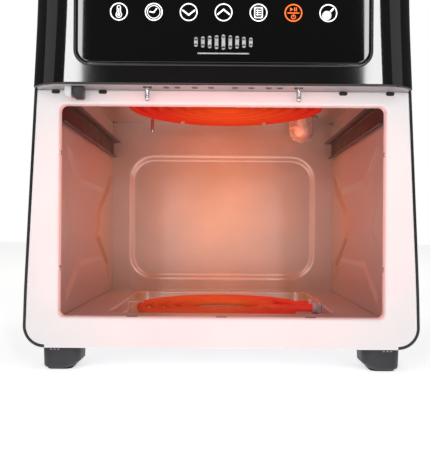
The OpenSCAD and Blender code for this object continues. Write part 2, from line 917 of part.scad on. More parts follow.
// ---------------------------------------------------------------- door switch
module interlock_housing() {
    lobe_x1 = lock_x - lock_w / 2 - lobe_gap;
    half = 7;
    leg = 2;
    color("#b9babd") difference() {
        union() {
            block(lobe_x1 - lobe_w, lobe_x1, lock_y - 5, lock_y + 5, head_z - lock_drop, head_z);
            block(lock_x - half, lock_x + half, lock_y - 6, lock_y + 6, lock_guide_z,
                lock_guide_z + lock_guide_h);
            block(lock_x + half - leg, lock_x + half, lock_y - 6, lock_y + 6, guide_z, lock_guide_z);
            block(lock_x - half, lock_x - half + leg, lock_y - 6, lock_y + 6, guide_z,
                lock_cap_z + 5);
            block(lock_x - half, lock_x + half, lock_y - 6, lock_y + 6, lock_cap_z, lock_cap_z + 1.5);
        }
        post(lock_x, lock_y, lock_guide_z - 1, lock_guide_z + lock_guide_h + 1,
            lock_stem_r + slide_gap);
        post(lock_x, lock_y, lock_cap_z - 1, lock_cap_z + 3, 1.2 + slide_gap);
    }
}

module interlock_actuator() {
    z0 = head_z - lock_drop;
    color("#55565a") {
        along(lock_y - 5, lock_y + 5) translate([lock_x, (z0 + guide_z) / 2])
            rounded(lock_w, guide_z - z0, 2);
        post(lock_x, lock_y, guide_z - 2, lock_collar_z + lock_collar_t, lock_stem_r);
        post(lock_x, lock_y, lock_collar_z, lock_collar_z + lock_collar_t, 4);
        post(lock_x, lock_y, lock_collar_z, lock_cap_z + 2.5, 1.2);
    }
}

module interlock_spring() {
    z0 = lock_collar_z + lock_collar_t;
    color("#d0d1d4") difference() {
        post(lock_x, lock_y, z0 + 0.2, z0 + 0.2 + lock_spring_l, 3.2);
        post(lock_x, lock_y, z0, z0 + 1 + lock_spring_l, 2.2);
    }
}

module interlock_switch() {
    z0 = lock_cap_z + 2.5 + plunger_travel + 0.5;
    wall_x = lock_x - 7;
    color("#1a1a1c") {
        block(wall_x + 2, wall_x + 22, lock_y - 3.2, lock_y + 3.2, z0, z0 + 10);
        block(wall_x + 2, wall_x + 4, lock_y - 3.2, lock_y + 3.2, lock_cap_z + 1.5, z0);
    }
}

// ---------------------------------------------------------------- door catches
module catch_pin(side) {
    x = side * catch_x;
    tip_z = head_z - catch_l;
    color("#d6d7da") {
        translate([x, catch_y, tip_z + catch_r]) sphere(catch_r);
        post(x, catch_y, tip_z + catch_r, collar_z + collar_t, catch_r);
        post(x, catch_y, collar_z, collar_z + collar_t, guide_in - 0.4);
        post(x, catch_y, collar_z, cap_z + cap_t + 2, stem_r);
    }
}

module catch_pin_left() {
    catch_pin(-1);
}

module catch_pin_right() {
    catch_pin(1);
}

module catch_guides() {
    color("#3a3b3e")
        for (s = [-1, 1])
            difference() {
                union() {
                    post(s * catch_x, catch_y, guide_z, cap_z + cap_t, guide_r);
                    block(s * catch_x - 11, s * catch_x + 11, catch_y - 4, catch_y + 4, guide_z,
                        guide_z + 2);
                }
                post(s * catch_x, catch_y, guide_z - 1, cap_z, catch_r + slide_gap);
                post(s * catch_x, catch_y, guide_z + guide_wall_z, cap_z, guide_in);
                post(s * catch_x, catch_y, cap_z - 1, cap_z + cap_t + 1, stem_r + slide_gap);
            }
}

module catch_spring(side) {
    x = side * catch_x;
    z0 = collar_z + collar_t + 0.2;
    color("#d0d1d4") difference() {
        post(x, catch_y, z0, z0 + spring_l, 4.2);
        post(x, catch_y, z0 - 1, z0 + spring_l + 1, 3.2);
    }
}

module catch_spring_left() {
    catch_spring(-1);
}

module catch_spring_right() {
    catch_spring(1);
}

// ---------------------------------------------------------------- feet and base
// Front view of a foot about its own middle; its inner lower corner is cut off
module foot_front(side) {
    w = foot_w / 2;
    c = foot_chamfer;
    polygon([for (p = [[-w, foot_h], [-w + 0.5, pad_t + c], [-w + c * 1.2, pad_t],
        [w - 1.5, pad_t], [w - 0.5, pad_t + 1.5], [w, foot_h]]) [side * p[0], p[1]]]);
}

module foot(side, y0) {
    color("#4b4d51") translate([side * foot_x, 0, 0]) intersection() {
        along(y0, y0 + foot_d) foot_front(side);
        translate([0, y0 + foot_d / 2, 0]) linear_extrude(foot_h + 1) rounded(foot_w, foot_d, foot_r);
    }
}

module foot_front_left() {
    foot(-1, foot_y0);
}

module foot_front_right() {
    foot(1, foot_y0);
}

module foot_rear_left() {
    foot(-1, foot_y1);
}

module foot_rear_right() {
    foot(1, foot_y1);
}

module foot_pads() {
    color("#202123")
        for (s = [-1, 1])
            for (y0 = [foot_y0, foot_y1])
                translate([s * (foot_x + 2), y0 + foot_d / 2, 0]) linear_extrude(pad_t)
                    rounded(foot_w - 11, foot_d - 9, 5);
}

// ---------------------------------------------------------------- electrics
module power_board() {
    y1 = rear_y - rear_cover_t;
    z0 = ceil_z + 8;
    color("#2a6a3c") {
        block(-55, 55, y1 - 9.6, y1 - 8, z0, z0 + 42);
        for (sx = [-1, 1])
            for (z = [z0 + 5, z0 + 37])
                tube_y(sx * 49, y1 - 8, y1, z, 2.5);
        block(-40, -14, y1 - 22, y1 - 9.6, z0 + 6, z0 + 32);
        tube_y(12, y1 - 21, y1 - 9.6, z0 + 14, 6);
        tube_y(32, y1 - 21, y1 - 9.6, z0 + 24, 5);
    }
}

// Bush that the mains lead passes through, pressed into the rear cover
module cord_gland() {
    color("#1c1d1f") difference() {
        union() {
            tube_y(gland_x, rear_y - rear_cover_t, rear_y, gland_z, gland_r - 2);
            tube_y(gland_x, rear_y, rear_y + gland_out, gland_z, gland_r);
            tube_y(gland_x, rear_y - rear_cover_t - 2, rear_y - rear_cover_t, gland_z, gland_r);
        }
        tube_y(gland_x, rear_y - 10, rear_y + 10, gland_z, gland_bore_r);
    }
}

module cover_screws() {
    color("#b8b9bc")
        for (s = [-1, 1])
            for (z = [foot_h + 10, (foot_h + body_h) / 2, body_h - 12])
                tube_y(s * (side_half(z) - (z > seam_z ? 24 : 14)), rear_y, rear_y + screw_t, z,
                    screw_r);
}

module liner_screws() {
    color("#e6e6e8")
        for (s = [-1, 1])
            for (z = [mouth_z0 + 0.23 * mouth_h, mouth_z0 + 0.775 * mouth_h])
                tube_x(s > 0 ? mouth_w / 2 - 1.2 : -mouth_w / 2, s > 0 ? mouth_w / 2
                    : -mouth_w / 2 + 1.2, frame_y + 4.5, z, 2);
}

side_cover_left();
side_cover_right();
top_cover();
rear_cover();
base_plate();
front_frame();
hood_front();
hood_floor();
touch_panel();
panel_bezel();
control_icons();
start_icon();
badge();
display_digits();
control_board();
liner_left();
liner_right();
liner_back();
liner_ceiling();
liner_floor();
heater_well();
rail_left();
rail_right();
top_heater();
top_heater_brackets();
lower_heater();
lower_heater_bracket();
lower_terminal_block();
fan_dome();
motor_plate();
motor_stator();
lower_bush();
upper_bush();
lamp_glass();
lamp_bulb();
lamp_socket();
temperature_probe();
thermal_cutout();
interlock_housing();
interlock_switch();
catch_guides();
foot_front_left();
foot_front_right();
foot_rear_left();
foot_rear_right();
foot_pads();
power_board();
cord_gland();
cover_screws();
liner_screws();
hot_fan();
motor_shaft();
cooling_fan();
motor_rotor();
catch_pin_left();
catch_pin_right();
catch_spring_left();
catch_spring_right();
interlock_actuator();
interlock_spring();
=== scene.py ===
import math

import bmesh
import bpy
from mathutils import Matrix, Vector


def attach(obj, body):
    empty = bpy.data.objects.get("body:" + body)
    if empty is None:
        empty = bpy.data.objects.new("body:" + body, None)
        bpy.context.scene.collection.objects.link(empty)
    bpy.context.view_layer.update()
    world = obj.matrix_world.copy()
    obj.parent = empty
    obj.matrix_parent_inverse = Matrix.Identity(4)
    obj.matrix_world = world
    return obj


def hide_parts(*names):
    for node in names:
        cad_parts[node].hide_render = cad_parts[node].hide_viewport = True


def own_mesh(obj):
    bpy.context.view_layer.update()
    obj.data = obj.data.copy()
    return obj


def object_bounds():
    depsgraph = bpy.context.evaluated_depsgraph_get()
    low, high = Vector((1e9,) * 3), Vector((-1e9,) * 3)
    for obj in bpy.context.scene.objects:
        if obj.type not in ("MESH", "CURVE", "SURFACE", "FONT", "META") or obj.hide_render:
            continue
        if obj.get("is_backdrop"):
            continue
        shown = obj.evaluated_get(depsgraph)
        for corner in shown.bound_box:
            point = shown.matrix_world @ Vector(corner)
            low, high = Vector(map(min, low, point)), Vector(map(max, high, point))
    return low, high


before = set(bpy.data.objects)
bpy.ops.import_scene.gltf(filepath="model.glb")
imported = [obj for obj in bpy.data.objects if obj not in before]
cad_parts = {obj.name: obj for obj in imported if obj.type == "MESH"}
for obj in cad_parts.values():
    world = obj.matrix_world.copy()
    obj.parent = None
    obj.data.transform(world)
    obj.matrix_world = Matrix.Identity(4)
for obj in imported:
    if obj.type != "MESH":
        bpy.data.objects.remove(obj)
cad_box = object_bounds()

bl_info = {
    "name": "Air Fryer Oven",
    "version": (1, 0, 0),
    "blender": (4, 5, 0),
    "location": "View3D > Sidebar > Air Fryer",
    "description": "Builds the looks of a countertop air fryer oven around its packed frame",
    "category": "Object",
}

MM = 0.001

# Places on the oven, in millimetres: depths from front to back, heights from the floor up
MARKS_Y = -161.0
PANEL_Y = -160.8
HOOD_Y = -160.0
FRAME_Y = -141.0
LINER_Y = -138.5
HOOD_BACK_Y = -126.0
AXIS_Y = -12.5
BACK_Y = 116.0
REAR_Y = 146.0
BASE_Z = 19.0
FLOOR_Z = 43.3
MOUTH_Z0 = 44.5
MOUTH_Z1 = 219.0
HEAD_Z = 231.0
CEIL_Z = 249.0
SEAM_Z = 334.0
TOP_Z = 358.0
BASE_HALF = 145.2
MOUTH_HALF = 134.0
CAVITY_HALF = 135.2
PANEL_HALF = 116.0
PANEL_Z0 = 248.0
PANEL_Z1 = 338.0
PANEL_R = 10.5
KEY_Z = 288.0
KEY_PITCH = 27.5
SHELL = 2.2
LEAN_FROM = 50.0
LEAN_TO = 300.0
LEAN = 11.6
HALF_WIDTH = 163.2
CORNER_R = 18.0
TOP_R = 24.0
WELL = (100.2, -101.0, 99.0, 30.0, 14.0)
COIL_Z = 244.45
COIL_IN = 20.0
COIL_PITCH = 14.0
LOW_Z = 38.5
LOW_R = 82.5
CATCH_X = 61.0
CATCH_Y = -150.0
LOCK_X = -116.0
LAMP = (91.5, 71.0, 219.0)
PROBE = (-80.5, 59.0, CEIL_Z)
DIGIT_Z = 312.0
EMBLEM_Z = 264.5
INK_Y = PANEL_Y + 0.05
SHEET = 0.8
FRAME_GAP = 0.25
HOLE_R = 92.25
HOOD_R = 20.0
HOOD_STRETCH = 1.42
LOW_GAP = 7.0
STRAP_ANGLES = (60, 120, 240, 300)
HOT_FAN_Z = 262.0
COOLING_FAN_Z = 289.0
FAN_HEIGHT = 12.0
FOOT_ROWS = (("front", -137.0), ("rear", 107.0))
FOOT_LENGTH = 33.0
VENT_PITCH = 12.0
SIDES = ((-1, "left"), (1, "right"))


# ---------------------------------------------------------------- shapes
def side_half(z):
    """Half the housing's width at a height, its two knees eased into curves."""
    ease = 0.12

    def ramp(u):
        if u <= -ease:
            return 0.0
        return u if u >= ease else (u + ease) ** 2 / (4 * ease)

    t = (z - LEAN_FROM) / (LEAN_TO - LEAN_FROM)
    return HALF_WIDTH - LEAN * (ramp(t) - ramp(t - 1.0))


def arc(cx, cy, rx, a0, a1, steps, ry=None):
    """Points on an arc, both ends included."""
    ry = rx if ry is None else ry
    turn = [math.radians(a0 + (a1 - a0) * i / steps) for i in range(steps + 1)]
    return [(cx + rx * math.cos(a), cy + ry * math.sin(a)) for a in turn]


def between(a, b, count):
    """Points spaced evenly between two points, neither end included."""
    return [tuple(p + (q - p) * i / (count + 1) for p, q in zip(a, b)) for i in range(1, count + 1)]


def rounded_loop(x0, x1, y0, y1, r, steps=8, fill=0):
    """Loop of a rounded rectangle, from its lower right corner anticlockwise."""
    corners = [
        arc(x1 - r, y0 + r, r, -90, 0, steps),
        arc(x1 - r, y1 - r, r, 0, 90, steps),
        arc(x0 + r, y1 - r, r, 90, 180, steps),
        arc(x0 + r, y0 + r, r, 180, 270, steps),
    ]
    loop = []
    for i, corner in enumerate(corners):
        loop += corner + between(corner[-1], corners[(i + 1) % 4][0], fill)
    return loop


def smooth(t):
    """Eased step from 0 to 1."""
    t = max(0.0, min(1.0, t))
    return t * t * (3 - 2 * t)


def edge_distance(x, y, loop):
    """Distance to a closed loop of points, positive inside it."""
    best = 1e9
    inside = False
    for (ax, ay), (bx, by) in zip(loop, loop[1:] + loop[:1]):
        dx, dy = bx - ax, by - ay
        t = max(0.0, min(1.0, ((x - ax) * dx + (y - ay) * dy) / (dx * dx + dy * dy)))
        best = min(best, math.hypot(x - ax - t * dx, y - ay - t * dy))
        if (ay > y) != (by > y) and x < ax + (y - ay) * dx / dy:
            inside = not inside
    return best if inside else -best


def added(name, data):
    """An object made from data and put in the scene."""
    made = bpy.data.objects.new(name, data)
    bpy.context.scene.collection.objects.link(made)
    return made


class Shape:
    """Collects closed solids for one piece, in millimetres."""

    def __init__(self):
        self.points = []
        self.faces = []

    def add(self, points, faces):
        """Takes in more points and the faces between them."""
        base = len(self.points)
        self.points += points
        self.faces += [tuple(base + i for i in f) for f in faces]
        return self

    def loft(self, rings, closed=True, wrap=False, caps=True):
        """Joins rings of equal length by faces."""
        n = len(rings[0])
        points = [p for ring in rings for p in ring]
        faces = []
        spans = len(rings) if wrap else len(rings) - 1
        for i in range(spans):
            a, b = i * n, ((i + 1) % len(rings)) * n
            for j in range(n if closed else n - 1):
                k = (j + 1) % n
                faces.append((a + j, a + k, b + k, b + j))
        if caps and not wrap:
            faces.append(tuple(range(n))[::-1])
            faces.append(tuple((len(rings) - 1) * n + j for j in range(n)))
        return self.add(points, faces)

    def prism(self, loop, lo, hi, axis="Y"):
        """A flat loop made solid along an axis."""
        place = {
            "X": lambda p, d: (d, p[0], p[1]),
            "Y": lambda p, d: (p[0], d, p[1]),
            "Z": lambda p, d: (p[0], p[1], d),
        }[axis]
        return self.loft([[place(p, d) for p in loop] for d in (lo, hi)])

    def box(self, x, y, z):
        """A block between two values on each axis."""
        return self.prism([(x[0], z[0]), (x[1], z[0]), (x[1], z[1]), (x[0], z[1])], y[0], y[1])

    def lathe(self, profile, centre, axis="Z", steps=48):
        """A profile of (radius, height) turned about an axis through the centre."""
        place = {
            "Z": lambda r, h, a: (centre[0] + r * math.cos(a), centre[1] + r * math.sin(a), centre[2] + h),
            "Y": lambda r, h, a: (centre[0] + r * math.cos(a), centre[1] + h, centre[2] + r * math.sin(a)),
            "X": lambda r, h, a: (centre[0] + h, centre[1] + r * math.cos(a), centre[2] + r * math.sin(a)),
        }[axis]
        turn = [2 * math.pi * i / steps for i in range(steps)]
        return self.loft([[place(max(r, 1e-3), h, a) for a in turn] for r, h in profile])

    def ring(self, profile, centre, axis="Z", steps=48):
        """A closed profile of (radius, height) turned about an axis."""
        keep = Shape().lathe(profile, centre, axis, steps)
        n = steps
        rings = [keep.points[i * n : (i + 1) * n] for i in range(len(profile))]
        return self.loft(rings, wrap=True)

    def object(self, name):
        """The raw object, at the origin and in metres."""
        mesh = bpy.data.meshes.new(name)
        mesh.from_pydata([tuple(c * MM for c in p) for p in self.points], [], self.faces)
        return added(name, mesh)


def tidy_mesh(mesh, angle, recalc=True):
    """Merges doubles, turns faces outwards, and keeps edges sharper than the angle."""
    work = bmesh.new()
    work.from_mesh(mesh)
    bmesh.ops.remove_doubles(work, verts=work.verts, dist=2e-6)
    if recalc:
        bmesh.ops.recalc_face_normals(work, faces=work.faces)
    limit = math.radians(angle)
    for face in work.faces:
        face.smooth = True
    for edge in work.edges:
        edge.smooth = len(edge.link_faces) == 2 and edge.calc_face_angle(0.0) < limit
    work.to_mesh(mesh)
    work.free()


def settled(made, name):
    """Plain mesh object from an object's evaluated modifiers; the source is removed."""
    bpy.context.view_layer.update()
    graph = bpy.context.evaluated_depsgraph_get()
    mesh = bpy.data.meshes.new_from_object(made.evaluated_get(graph))
    out = added(name, mesh)
    bpy.data.objects.remove(made)
    return out


def piece(shape, name, slot, body="housing", stands_for=(), bevel=0.0, wall=0.0, angle=35, cut=None):
    """Turns a shape into a finished piece that rides on a body."""
    made = shape.object(name + "_raw")
    tidy_mesh(made.data, angle, recalc=wall == 0.0)
    if wall:
        solid = made.modifiers.new("Wall", "SOLIDIFY")
        solid.thickness = wall * MM
        solid.offset = -1.0
        solid.use_even_offset = True
    if cut:
        cutter = cut.object(name + "_cutter")
        tidy_mesh(cutter.data, 30)
        hole = made.modifiers.new("Opening", "BOOLEAN")
        hole.object = cutter
        hole.solver = "EXACT"
    if bevel:
        edge = made.modifiers.new("Edge", "BEVEL")
        edge.width = bevel * MM
        edge.segments = 2
        edge.limit_method = "ANGLE"
        edge.angle_limit = math.radians(40)
    out = settled(made, name)
    if cut:
        bpy.data.objects.remove(cutter)
    tidy_mesh(out.data, angle)
    return dress(out, slot, body, stands_for)


def dress(out, slot, body="housing", stands_for=()):
    """Gives a piece its finish, its body and the nodes that it stands for."""
    out.data.materials.clear()
    out.data.materials.append(finish(slot))
    for poly in out.data.polygons:
        poly.material_index = 0
    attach(out, body)
    if stands_for:
        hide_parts(*stands_for)
    return out


# ---------------------------------------------------------------- node trees for repeats and tubes
def new_tree(name, sockets):
    """A geometry tree with a mesh in, a mesh out and the named inputs between."""
    tree = bpy.data.node_groups.new(name, "GeometryNodeTree")
    tree.interface.new_socket("Geometry", in_out="INPUT", socket_type="NodeSocketGeometry")
    ids = {}
    for label, kind, default in sockets:
        socket = tree.interface.new_socket(label, in_out="INPUT", socket_type=kind)
        if default is not None:
            socket.default_value = default
        ids[label] = socket.identifier
    tree.interface.new_socket("Geometry", in_out="OUTPUT", socket_type="NodeSocketGeometry")
    return tree, ids


def chain(tree, kinds):
    """Nodes in a row, each fed by the one before, between the group's ends."""
    row = [tree.nodes.new(kind) for kind in ("NodeGroupInput", *kinds, "NodeGroupOutput")]
    for i, node in enumerate(row):
        node.location = (220 * i, 0)
    return row


def tube_tree():
    """Tree that sweeps a round tube along the edges of a mesh."""
    tree, ids = new_tree("Tube Along Path", [
        ("Tube Radius", "NodeSocketFloat", 0.00375),
        ("Sides", "NodeSocketInt", 16),
        ("Finish", "NodeSocketMaterial", None),
    ])
    start, curve, sweep, soft, real, paint, end = chain(tree, [
        "GeometryNodeMeshToCurve", "GeometryNodeCurveToMesh", "GeometryNodeSetShadeSmooth",
        "GeometryNodeRealizeInstances", "GeometryNodeSetMaterial"])
    circle = tree.nodes.new("GeometryNodeCurvePrimitiveCircle")
    circle.location = (220, -200)
    sweep.inputs["Fill Caps"].default_value = True
    link = tree.links.new
    link(start.outputs["Geometry"], curve.inputs["Mesh"])
    link(curve.outputs["Curve"], sweep.inputs["Curve"])
    link(start.outputs["Tube Radius"], circle.inputs["Radius"])
    link(start.outputs["Sides"], circle.inputs["Resolution"])
    link(circle.outputs["Curve"], sweep.inputs["Profile Curve"])
    link(sweep.outputs["Mesh"], soft.inputs["Geometry"])
    link(soft.outputs["Geometry"], real.inputs["Geometry"])
    link(real.outputs["Geometry"], paint.inputs["Geometry"])
    link(start.outputs["Finish"], paint.inputs["Material"])
    link(paint.outputs["Geometry"], end.inputs["Geometry"])
    return tree, ids


def repeat_tree():
    """Tree that sets one shape at every point of a mesh, turned as the point says."""
    tree, ids = new_tree("Repeat At Points", [
        ("Part", "NodeSocketObject", None),
        ("Finish", "NodeSocketMaterial", None),
    ])
    start, points, put, real, paint, end = chain(tree, [
        "GeometryNodeMeshToPoints", "GeometryNodeInstanceOnPoints",
        "GeometryNodeRealizeInstances", "GeometryNodeSetMaterial"])
    part = tree.nodes.new("GeometryNodeObjectInfo")
    part.location = (0, -220)
    turn = tree.nodes.new("GeometryNodeInputNamedAttribute")
    turn.data_type = "FLOAT_VECTOR"
    turn.inputs["Name"].default_value = "turn"
    turn.location = (0, -420)
    euler = tree.nodes.new("FunctionNodeEulerToRotation")
    euler.location = (220, -420)
    link = tree.links.new
    link(start.outputs["Geometry"], points.inputs["Mesh"])
    link(points.outputs["Points"], put.inputs["Points"])
    link(start.outputs["Part"], part.inputs["Object"])
    link(part.outputs["Geometry"], put.inputs["Instance"])
    link(turn.outputs["Attribute"], euler.inputs["Euler"])
    link(euler.outputs["Rotation"], put.inputs["Rotation"])
    link(put.outputs["Instances"], real.inputs["Geometry"])
    link(real.outputs["Geometry"], paint.inputs["Geometry"])
    link(start.outputs["Finish"], paint.inputs["Material"])
    link(paint.outputs["Geometry"], end.inputs["Geometry"])
    return tree, ids


BUILT = {}


def once(maker):
    """What a maker builds, built the first time that it is asked for."""
    if maker.__name__ not in BUILT:
        BUILT[maker.__name__] = maker()
    return BUILT[maker.__name__]


def tube(name, paths, radius, slot, body="housing", stands_for=(), sides=16):
    """A tube swept along one or more open paths of points."""
    tree, ids = once(tube_tree)
    points = [p for path in paths for p in path]
    edges = []
    base = 0
    for path in paths:
        edges += [(base + i, base + i + 1) for i in range(len(path) - 1)]
        base += len(path)
    mesh = bpy.data.meshes.new(name + "_path")
    mesh.from_pydata([tuple(c * MM for c in p) for p in points], edges, [])
    made = added(name + "_path", mesh)
    sweep = made.modifiers.new("Tube", "NODES")
    sweep.node_group = tree
    sweep[ids["Tube Radius"]] = radius * MM
    sweep[ids["Sides"]] = sides
    sweep[ids["Finish"]] = finish(slot)
    out = settled(made, name)
    tidy_mesh(out.data, 60)
    return dress(out, slot, body, stands_for)


def repeat(name, part, places, slot, body="housing", stands_for=(), extra=None, angle=35, bevel=0.0):
    """A part repeated at places, each of them a point and a turn in degrees about X, Y and Z."""
    tree, ids = once(repeat_tree)
    source = part.object(name + "_part")
    tidy_mesh(source.data, angle)
    if bevel:
        edge = source.modifiers.new("Edge", "BEVEL")
        edge.width = bevel * MM
        edge.segments = 1
        source = settled(source, name + "_part")
    mesh = bpy.data.meshes.new(name + "_points")
    mesh.from_pydata([tuple(c * MM for c in p[:3]) for p in places], [], [])
    turns = mesh.attributes.new("turn", "FLOAT_VECTOR", "POINT")
    for i, place in enumerate(places):
        turns.data[i].vector = [math.radians(a) for a in place[3:6]]
    made = added(name + "_points", mesh)
    rows = made.modifiers.new("Repeat", "NODES")
    rows.node_group = tree
    rows[ids["Part"]] = source
    rows[ids["Finish"]] = finish(slot)
    out = settled(made, name)
    bpy.data.objects.remove(source)
    if extra:
        more = extra.object(name + "_more")
        work = bmesh.new()
        work.from_mesh(out.data)
        work.from_mesh(more.data)
        work.to_mesh(out.data)
        work.free()
        bpy.data.objects.remove(more)
    tidy_mesh(out.data, angle)
    return dress(out, slot, body, stands_for)


# ---------------------------------------------------------------- shared surface effects
def new_effect(name, inputs, outputs):
    """A shader group with named sockets; returns it with its two end nodes."""
    tree = bpy.data.node_groups.new(name, "ShaderNodeTree")
    for label, kind, default in inputs:
        socket = tree.interface.new_socket(label, in_out="INPUT", socket_type=kind)
        if default is not None:
            socket.default_value = default
    for label, kind in outputs:
        tree.interface.new_socket(label, in_out="OUTPUT", socket_type=kind)
    start = tree.nodes.new("NodeGroupInput")
    end = tree.nodes.new("NodeGroupOutput")
    start.location, end.location = (-600, 0), (600, 0)
    return tree, start, end


def node_in(tree, kind, at=(0, 0), settings=None, **values):
    """A node with settings and socket values; underscores in socket names stand for spaces."""
    node = tree.nodes.new(kind)
    node.location = at
    for key, value in (settings or {}).items():
        setattr(node, key, value)
    for key, value in values.items():
        node.inputs[key.replace("_", " ")].default_value = value
    return node


def mix_node(tree, kind, at):
    """A Mix node and its sockets: factor, first, second and result."""
    node = node_in(tree, "ShaderNodeMix", at, {"data_type": kind})
    picks = {"RGBA": (0, 6, 7, 2), "FLOAT": (0, 2, 3, 0)}[kind]
    return node.inputs[picks[0]], node.inputs[picks[1]], node.inputs[picks[2]], node.outputs[picks[3]]


COLOR, FLOAT, VECTOR = "NodeSocketColor", "NodeSocketFloat", "NodeSocketVector"


def tone_drift():
    """Slow change between two tones and two roughnesses over a surface."""
    tree, start, end = new_effect("Tone Drift", [
        ("Vector", VECTOR, None), ("Scale", FLOAT, 20.0),
        ("First Color", COLOR, (0.5, 0.5, 0.5, 1)), ("Second Color", COLOR, (0.6, 0.6, 0.6, 1)),
        ("First Roughness", FLOAT, 0.4), ("Second Roughness", FLOAT, 0.5),
    ], [("Color", COLOR), ("Roughness", FLOAT)])
    noise = node_in(tree, "ShaderNodeTexNoise", (-350, 0), None, Detail=3.0, Roughness=0.55)
    spread = node_in(tree, "ShaderNodeMapRange", (-150, 0), {"clamp": True}, From_Min=0.32, From_Max=0.68)
    cf, ca, cb, co = mix_node(tree, "RGBA", (150, 100))
    rf, ra, rb, ro = mix_node(tree, "FLOAT", (150, -150))
    link = tree.links.new
    link(start.outputs["Vector"], noise.inputs["Vector"])
    link(start.outputs["Scale"], noise.inputs["Scale"])
    link(noise.outputs["Fac"], spread.inputs["Value"])
    for factor in (cf, rf):
        link(spread.outputs["Result"], factor)
    for label, socket in (("First Color", ca), ("Second Color", cb), ("First Roughness", ra),
                          ("Second Roughness", rb)):
        link(start.outputs[label], socket)
    link(co, end.inputs["Color"])
    link(ro, end.inputs["Roughness"])
    return tree


def fine_grain():
    """Small relief, stretched along any axis, for moulded, sprayed and rolled surfaces."""
    tree, start, end = new_effect("Fine Grain", [
        ("Vector", VECTOR, None), ("Stretch", VECTOR, (1, 1, 1)), ("Scale", FLOAT, 900.0),
    ], [("Height", FLOAT)])
    pull = node_in(tree, "ShaderNodeVectorMath", (-350, 0), {"operation": "MULTIPLY"})
    noise = node_in(tree, "ShaderNodeTexNoise", (-100, 0), None, Detail=2.0, Roughness=0.6)
    link = tree.links.new
    link(start.outputs["Vector"], pull.inputs[0])
    link(start.outputs["Stretch"], pull.inputs[1])
    link(pull.outputs["Vector"], noise.inputs["Vector"])
    link(start.outputs["Scale"], noise.inputs["Scale"])
    link(noise.outputs["Fac"], end.inputs["Height"])
    return tree


def settled_dust():
    """A faint pale film on faces that look up."""
    tree, start, end = new_effect("Settled Dust", [
        ("Vector", VECTOR, None), ("Color", COLOR, (0.5, 0.5, 0.5, 1)), ("Roughness", FLOAT, 0.4),
        ("Dust Color", COLOR, (0.55, 0.53, 0.5, 1)), ("Amount", FLOAT, 0.1),
    ], [("Color", COLOR), ("Roughness", FLOAT)])
    shape = node_in(tree, "ShaderNodeNewGeometry", (-600, -300))
    axes = node_in(tree, "ShaderNodeSeparateXYZ", (-450, -300))
    up = node_in(tree, "ShaderNodeMapRange", (-300, -300), {"clamp": True}, From_Min=0.5, From_Max=1.0)
    noise = node_in(tree, "ShaderNodeTexNoise", (-300, 0), None, Scale=70.0, Detail=4.0)
    both = node_in(tree, "ShaderNodeMath", (-120, -200), {"operation": "MULTIPLY"})
    share = node_in(tree, "ShaderNodeMath", (20, -200), {"operation": "MULTIPLY", "use_clamp": True})
    rough = node_in(tree, "ShaderNodeMath", (200, -250), {"operation": "ADD", "use_clamp": True})
    cf, ca, cb, co = mix_node(tree, "RGBA", (250, 100))
    link = tree.links.new
    link(start.outputs["Vector"], noise.inputs["Vector"])
    link(shape.outputs["Normal"], axes.inputs["Vector"])
    link(axes.outputs["Z"], up.inputs["Value"])
    link(up.outputs["Result"], both.inputs[0])
    link(noise.outputs["Fac"], both.inputs[1])
    link(both.outputs["Value"], share.inputs[0])
    link(start.outputs["Amount"], share.inputs[1])
    link(share.outputs["Value"], cf)
    link(start.outputs["Color"], ca)
    link(start.outputs["Dust Color"], cb)
    link(start.outputs["Roughness"], rough.inputs[0])
    link(share.outputs["Value"], rough.inputs[1])
    link(co, end.inputs["Color"])
    link(rough.outputs["Value"], end.inputs["Roughness"])
    return tree


def edge_wear():
    """Bare, smoother metal or plastic along outer edges."""
    tree, start, end = new_effect("Edge Wear", [
        ("Vector", VECTOR, None), ("Color", COLOR, (0.5, 0.5, 0.5, 1)), ("Roughness", FLOAT, 0.4),
        ("Worn Color", COLOR, (0.7, 0.7, 0.7, 1)), ("Worn Roughness", FLOAT, 0.25), ("Amount", FLOAT, 0.3),
    ], [("Color", COLOR), ("Roughness", FLOAT)])
    shape = node_in(tree, "ShaderNodeNewGeometry", (-600, -300))
    rim = node_in(tree, "ShaderNodeMapRange", (-400, -300), {"clamp": True}, From_Min=0.53, From_Max=0.62)
    noise = node_in(tree, "ShaderNodeTexNoise", (-400, 0), None, Scale=220.0, Detail=3.0)
    both = node_in(tree, "ShaderNodeMath", (-180, -200), {"operation": "MULTIPLY"})
    share = node_in(tree, "ShaderNodeMath", (0, -200), {"operation": "MULTIPLY", "use_clamp": True})
    cf, ca, cb, co = mix_node(tree, "RGBA", (250, 100))
    rf, ra, rb, ro = mix_node(tree, "FLOAT", (250, -150))
    link = tree.links.new
    link(start.outputs["Vector"], noise.inputs["Vector"])
    link(shape.outputs["Pointiness"], rim.inputs["Value"])
    link(rim.outputs["Result"], both.inputs[0])
    link(noise.outputs["Fac"], both.inputs[1])
    link(both.outputs["Value"], share.inputs[0])
    link(start.outputs["Amount"], share.inputs[1])
    for factor in (cf, rf):
        link(share.outputs["Value"], factor)
    for label, socket in (("Color", ca), ("Worn Color", cb), ("Roughness", ra), ("Worn Roughness", rb)):
        link(start.outputs[label], socket)
    link(co, end.inputs["Color"])
    link(ro, end.inputs["Roughness"])
    return tree


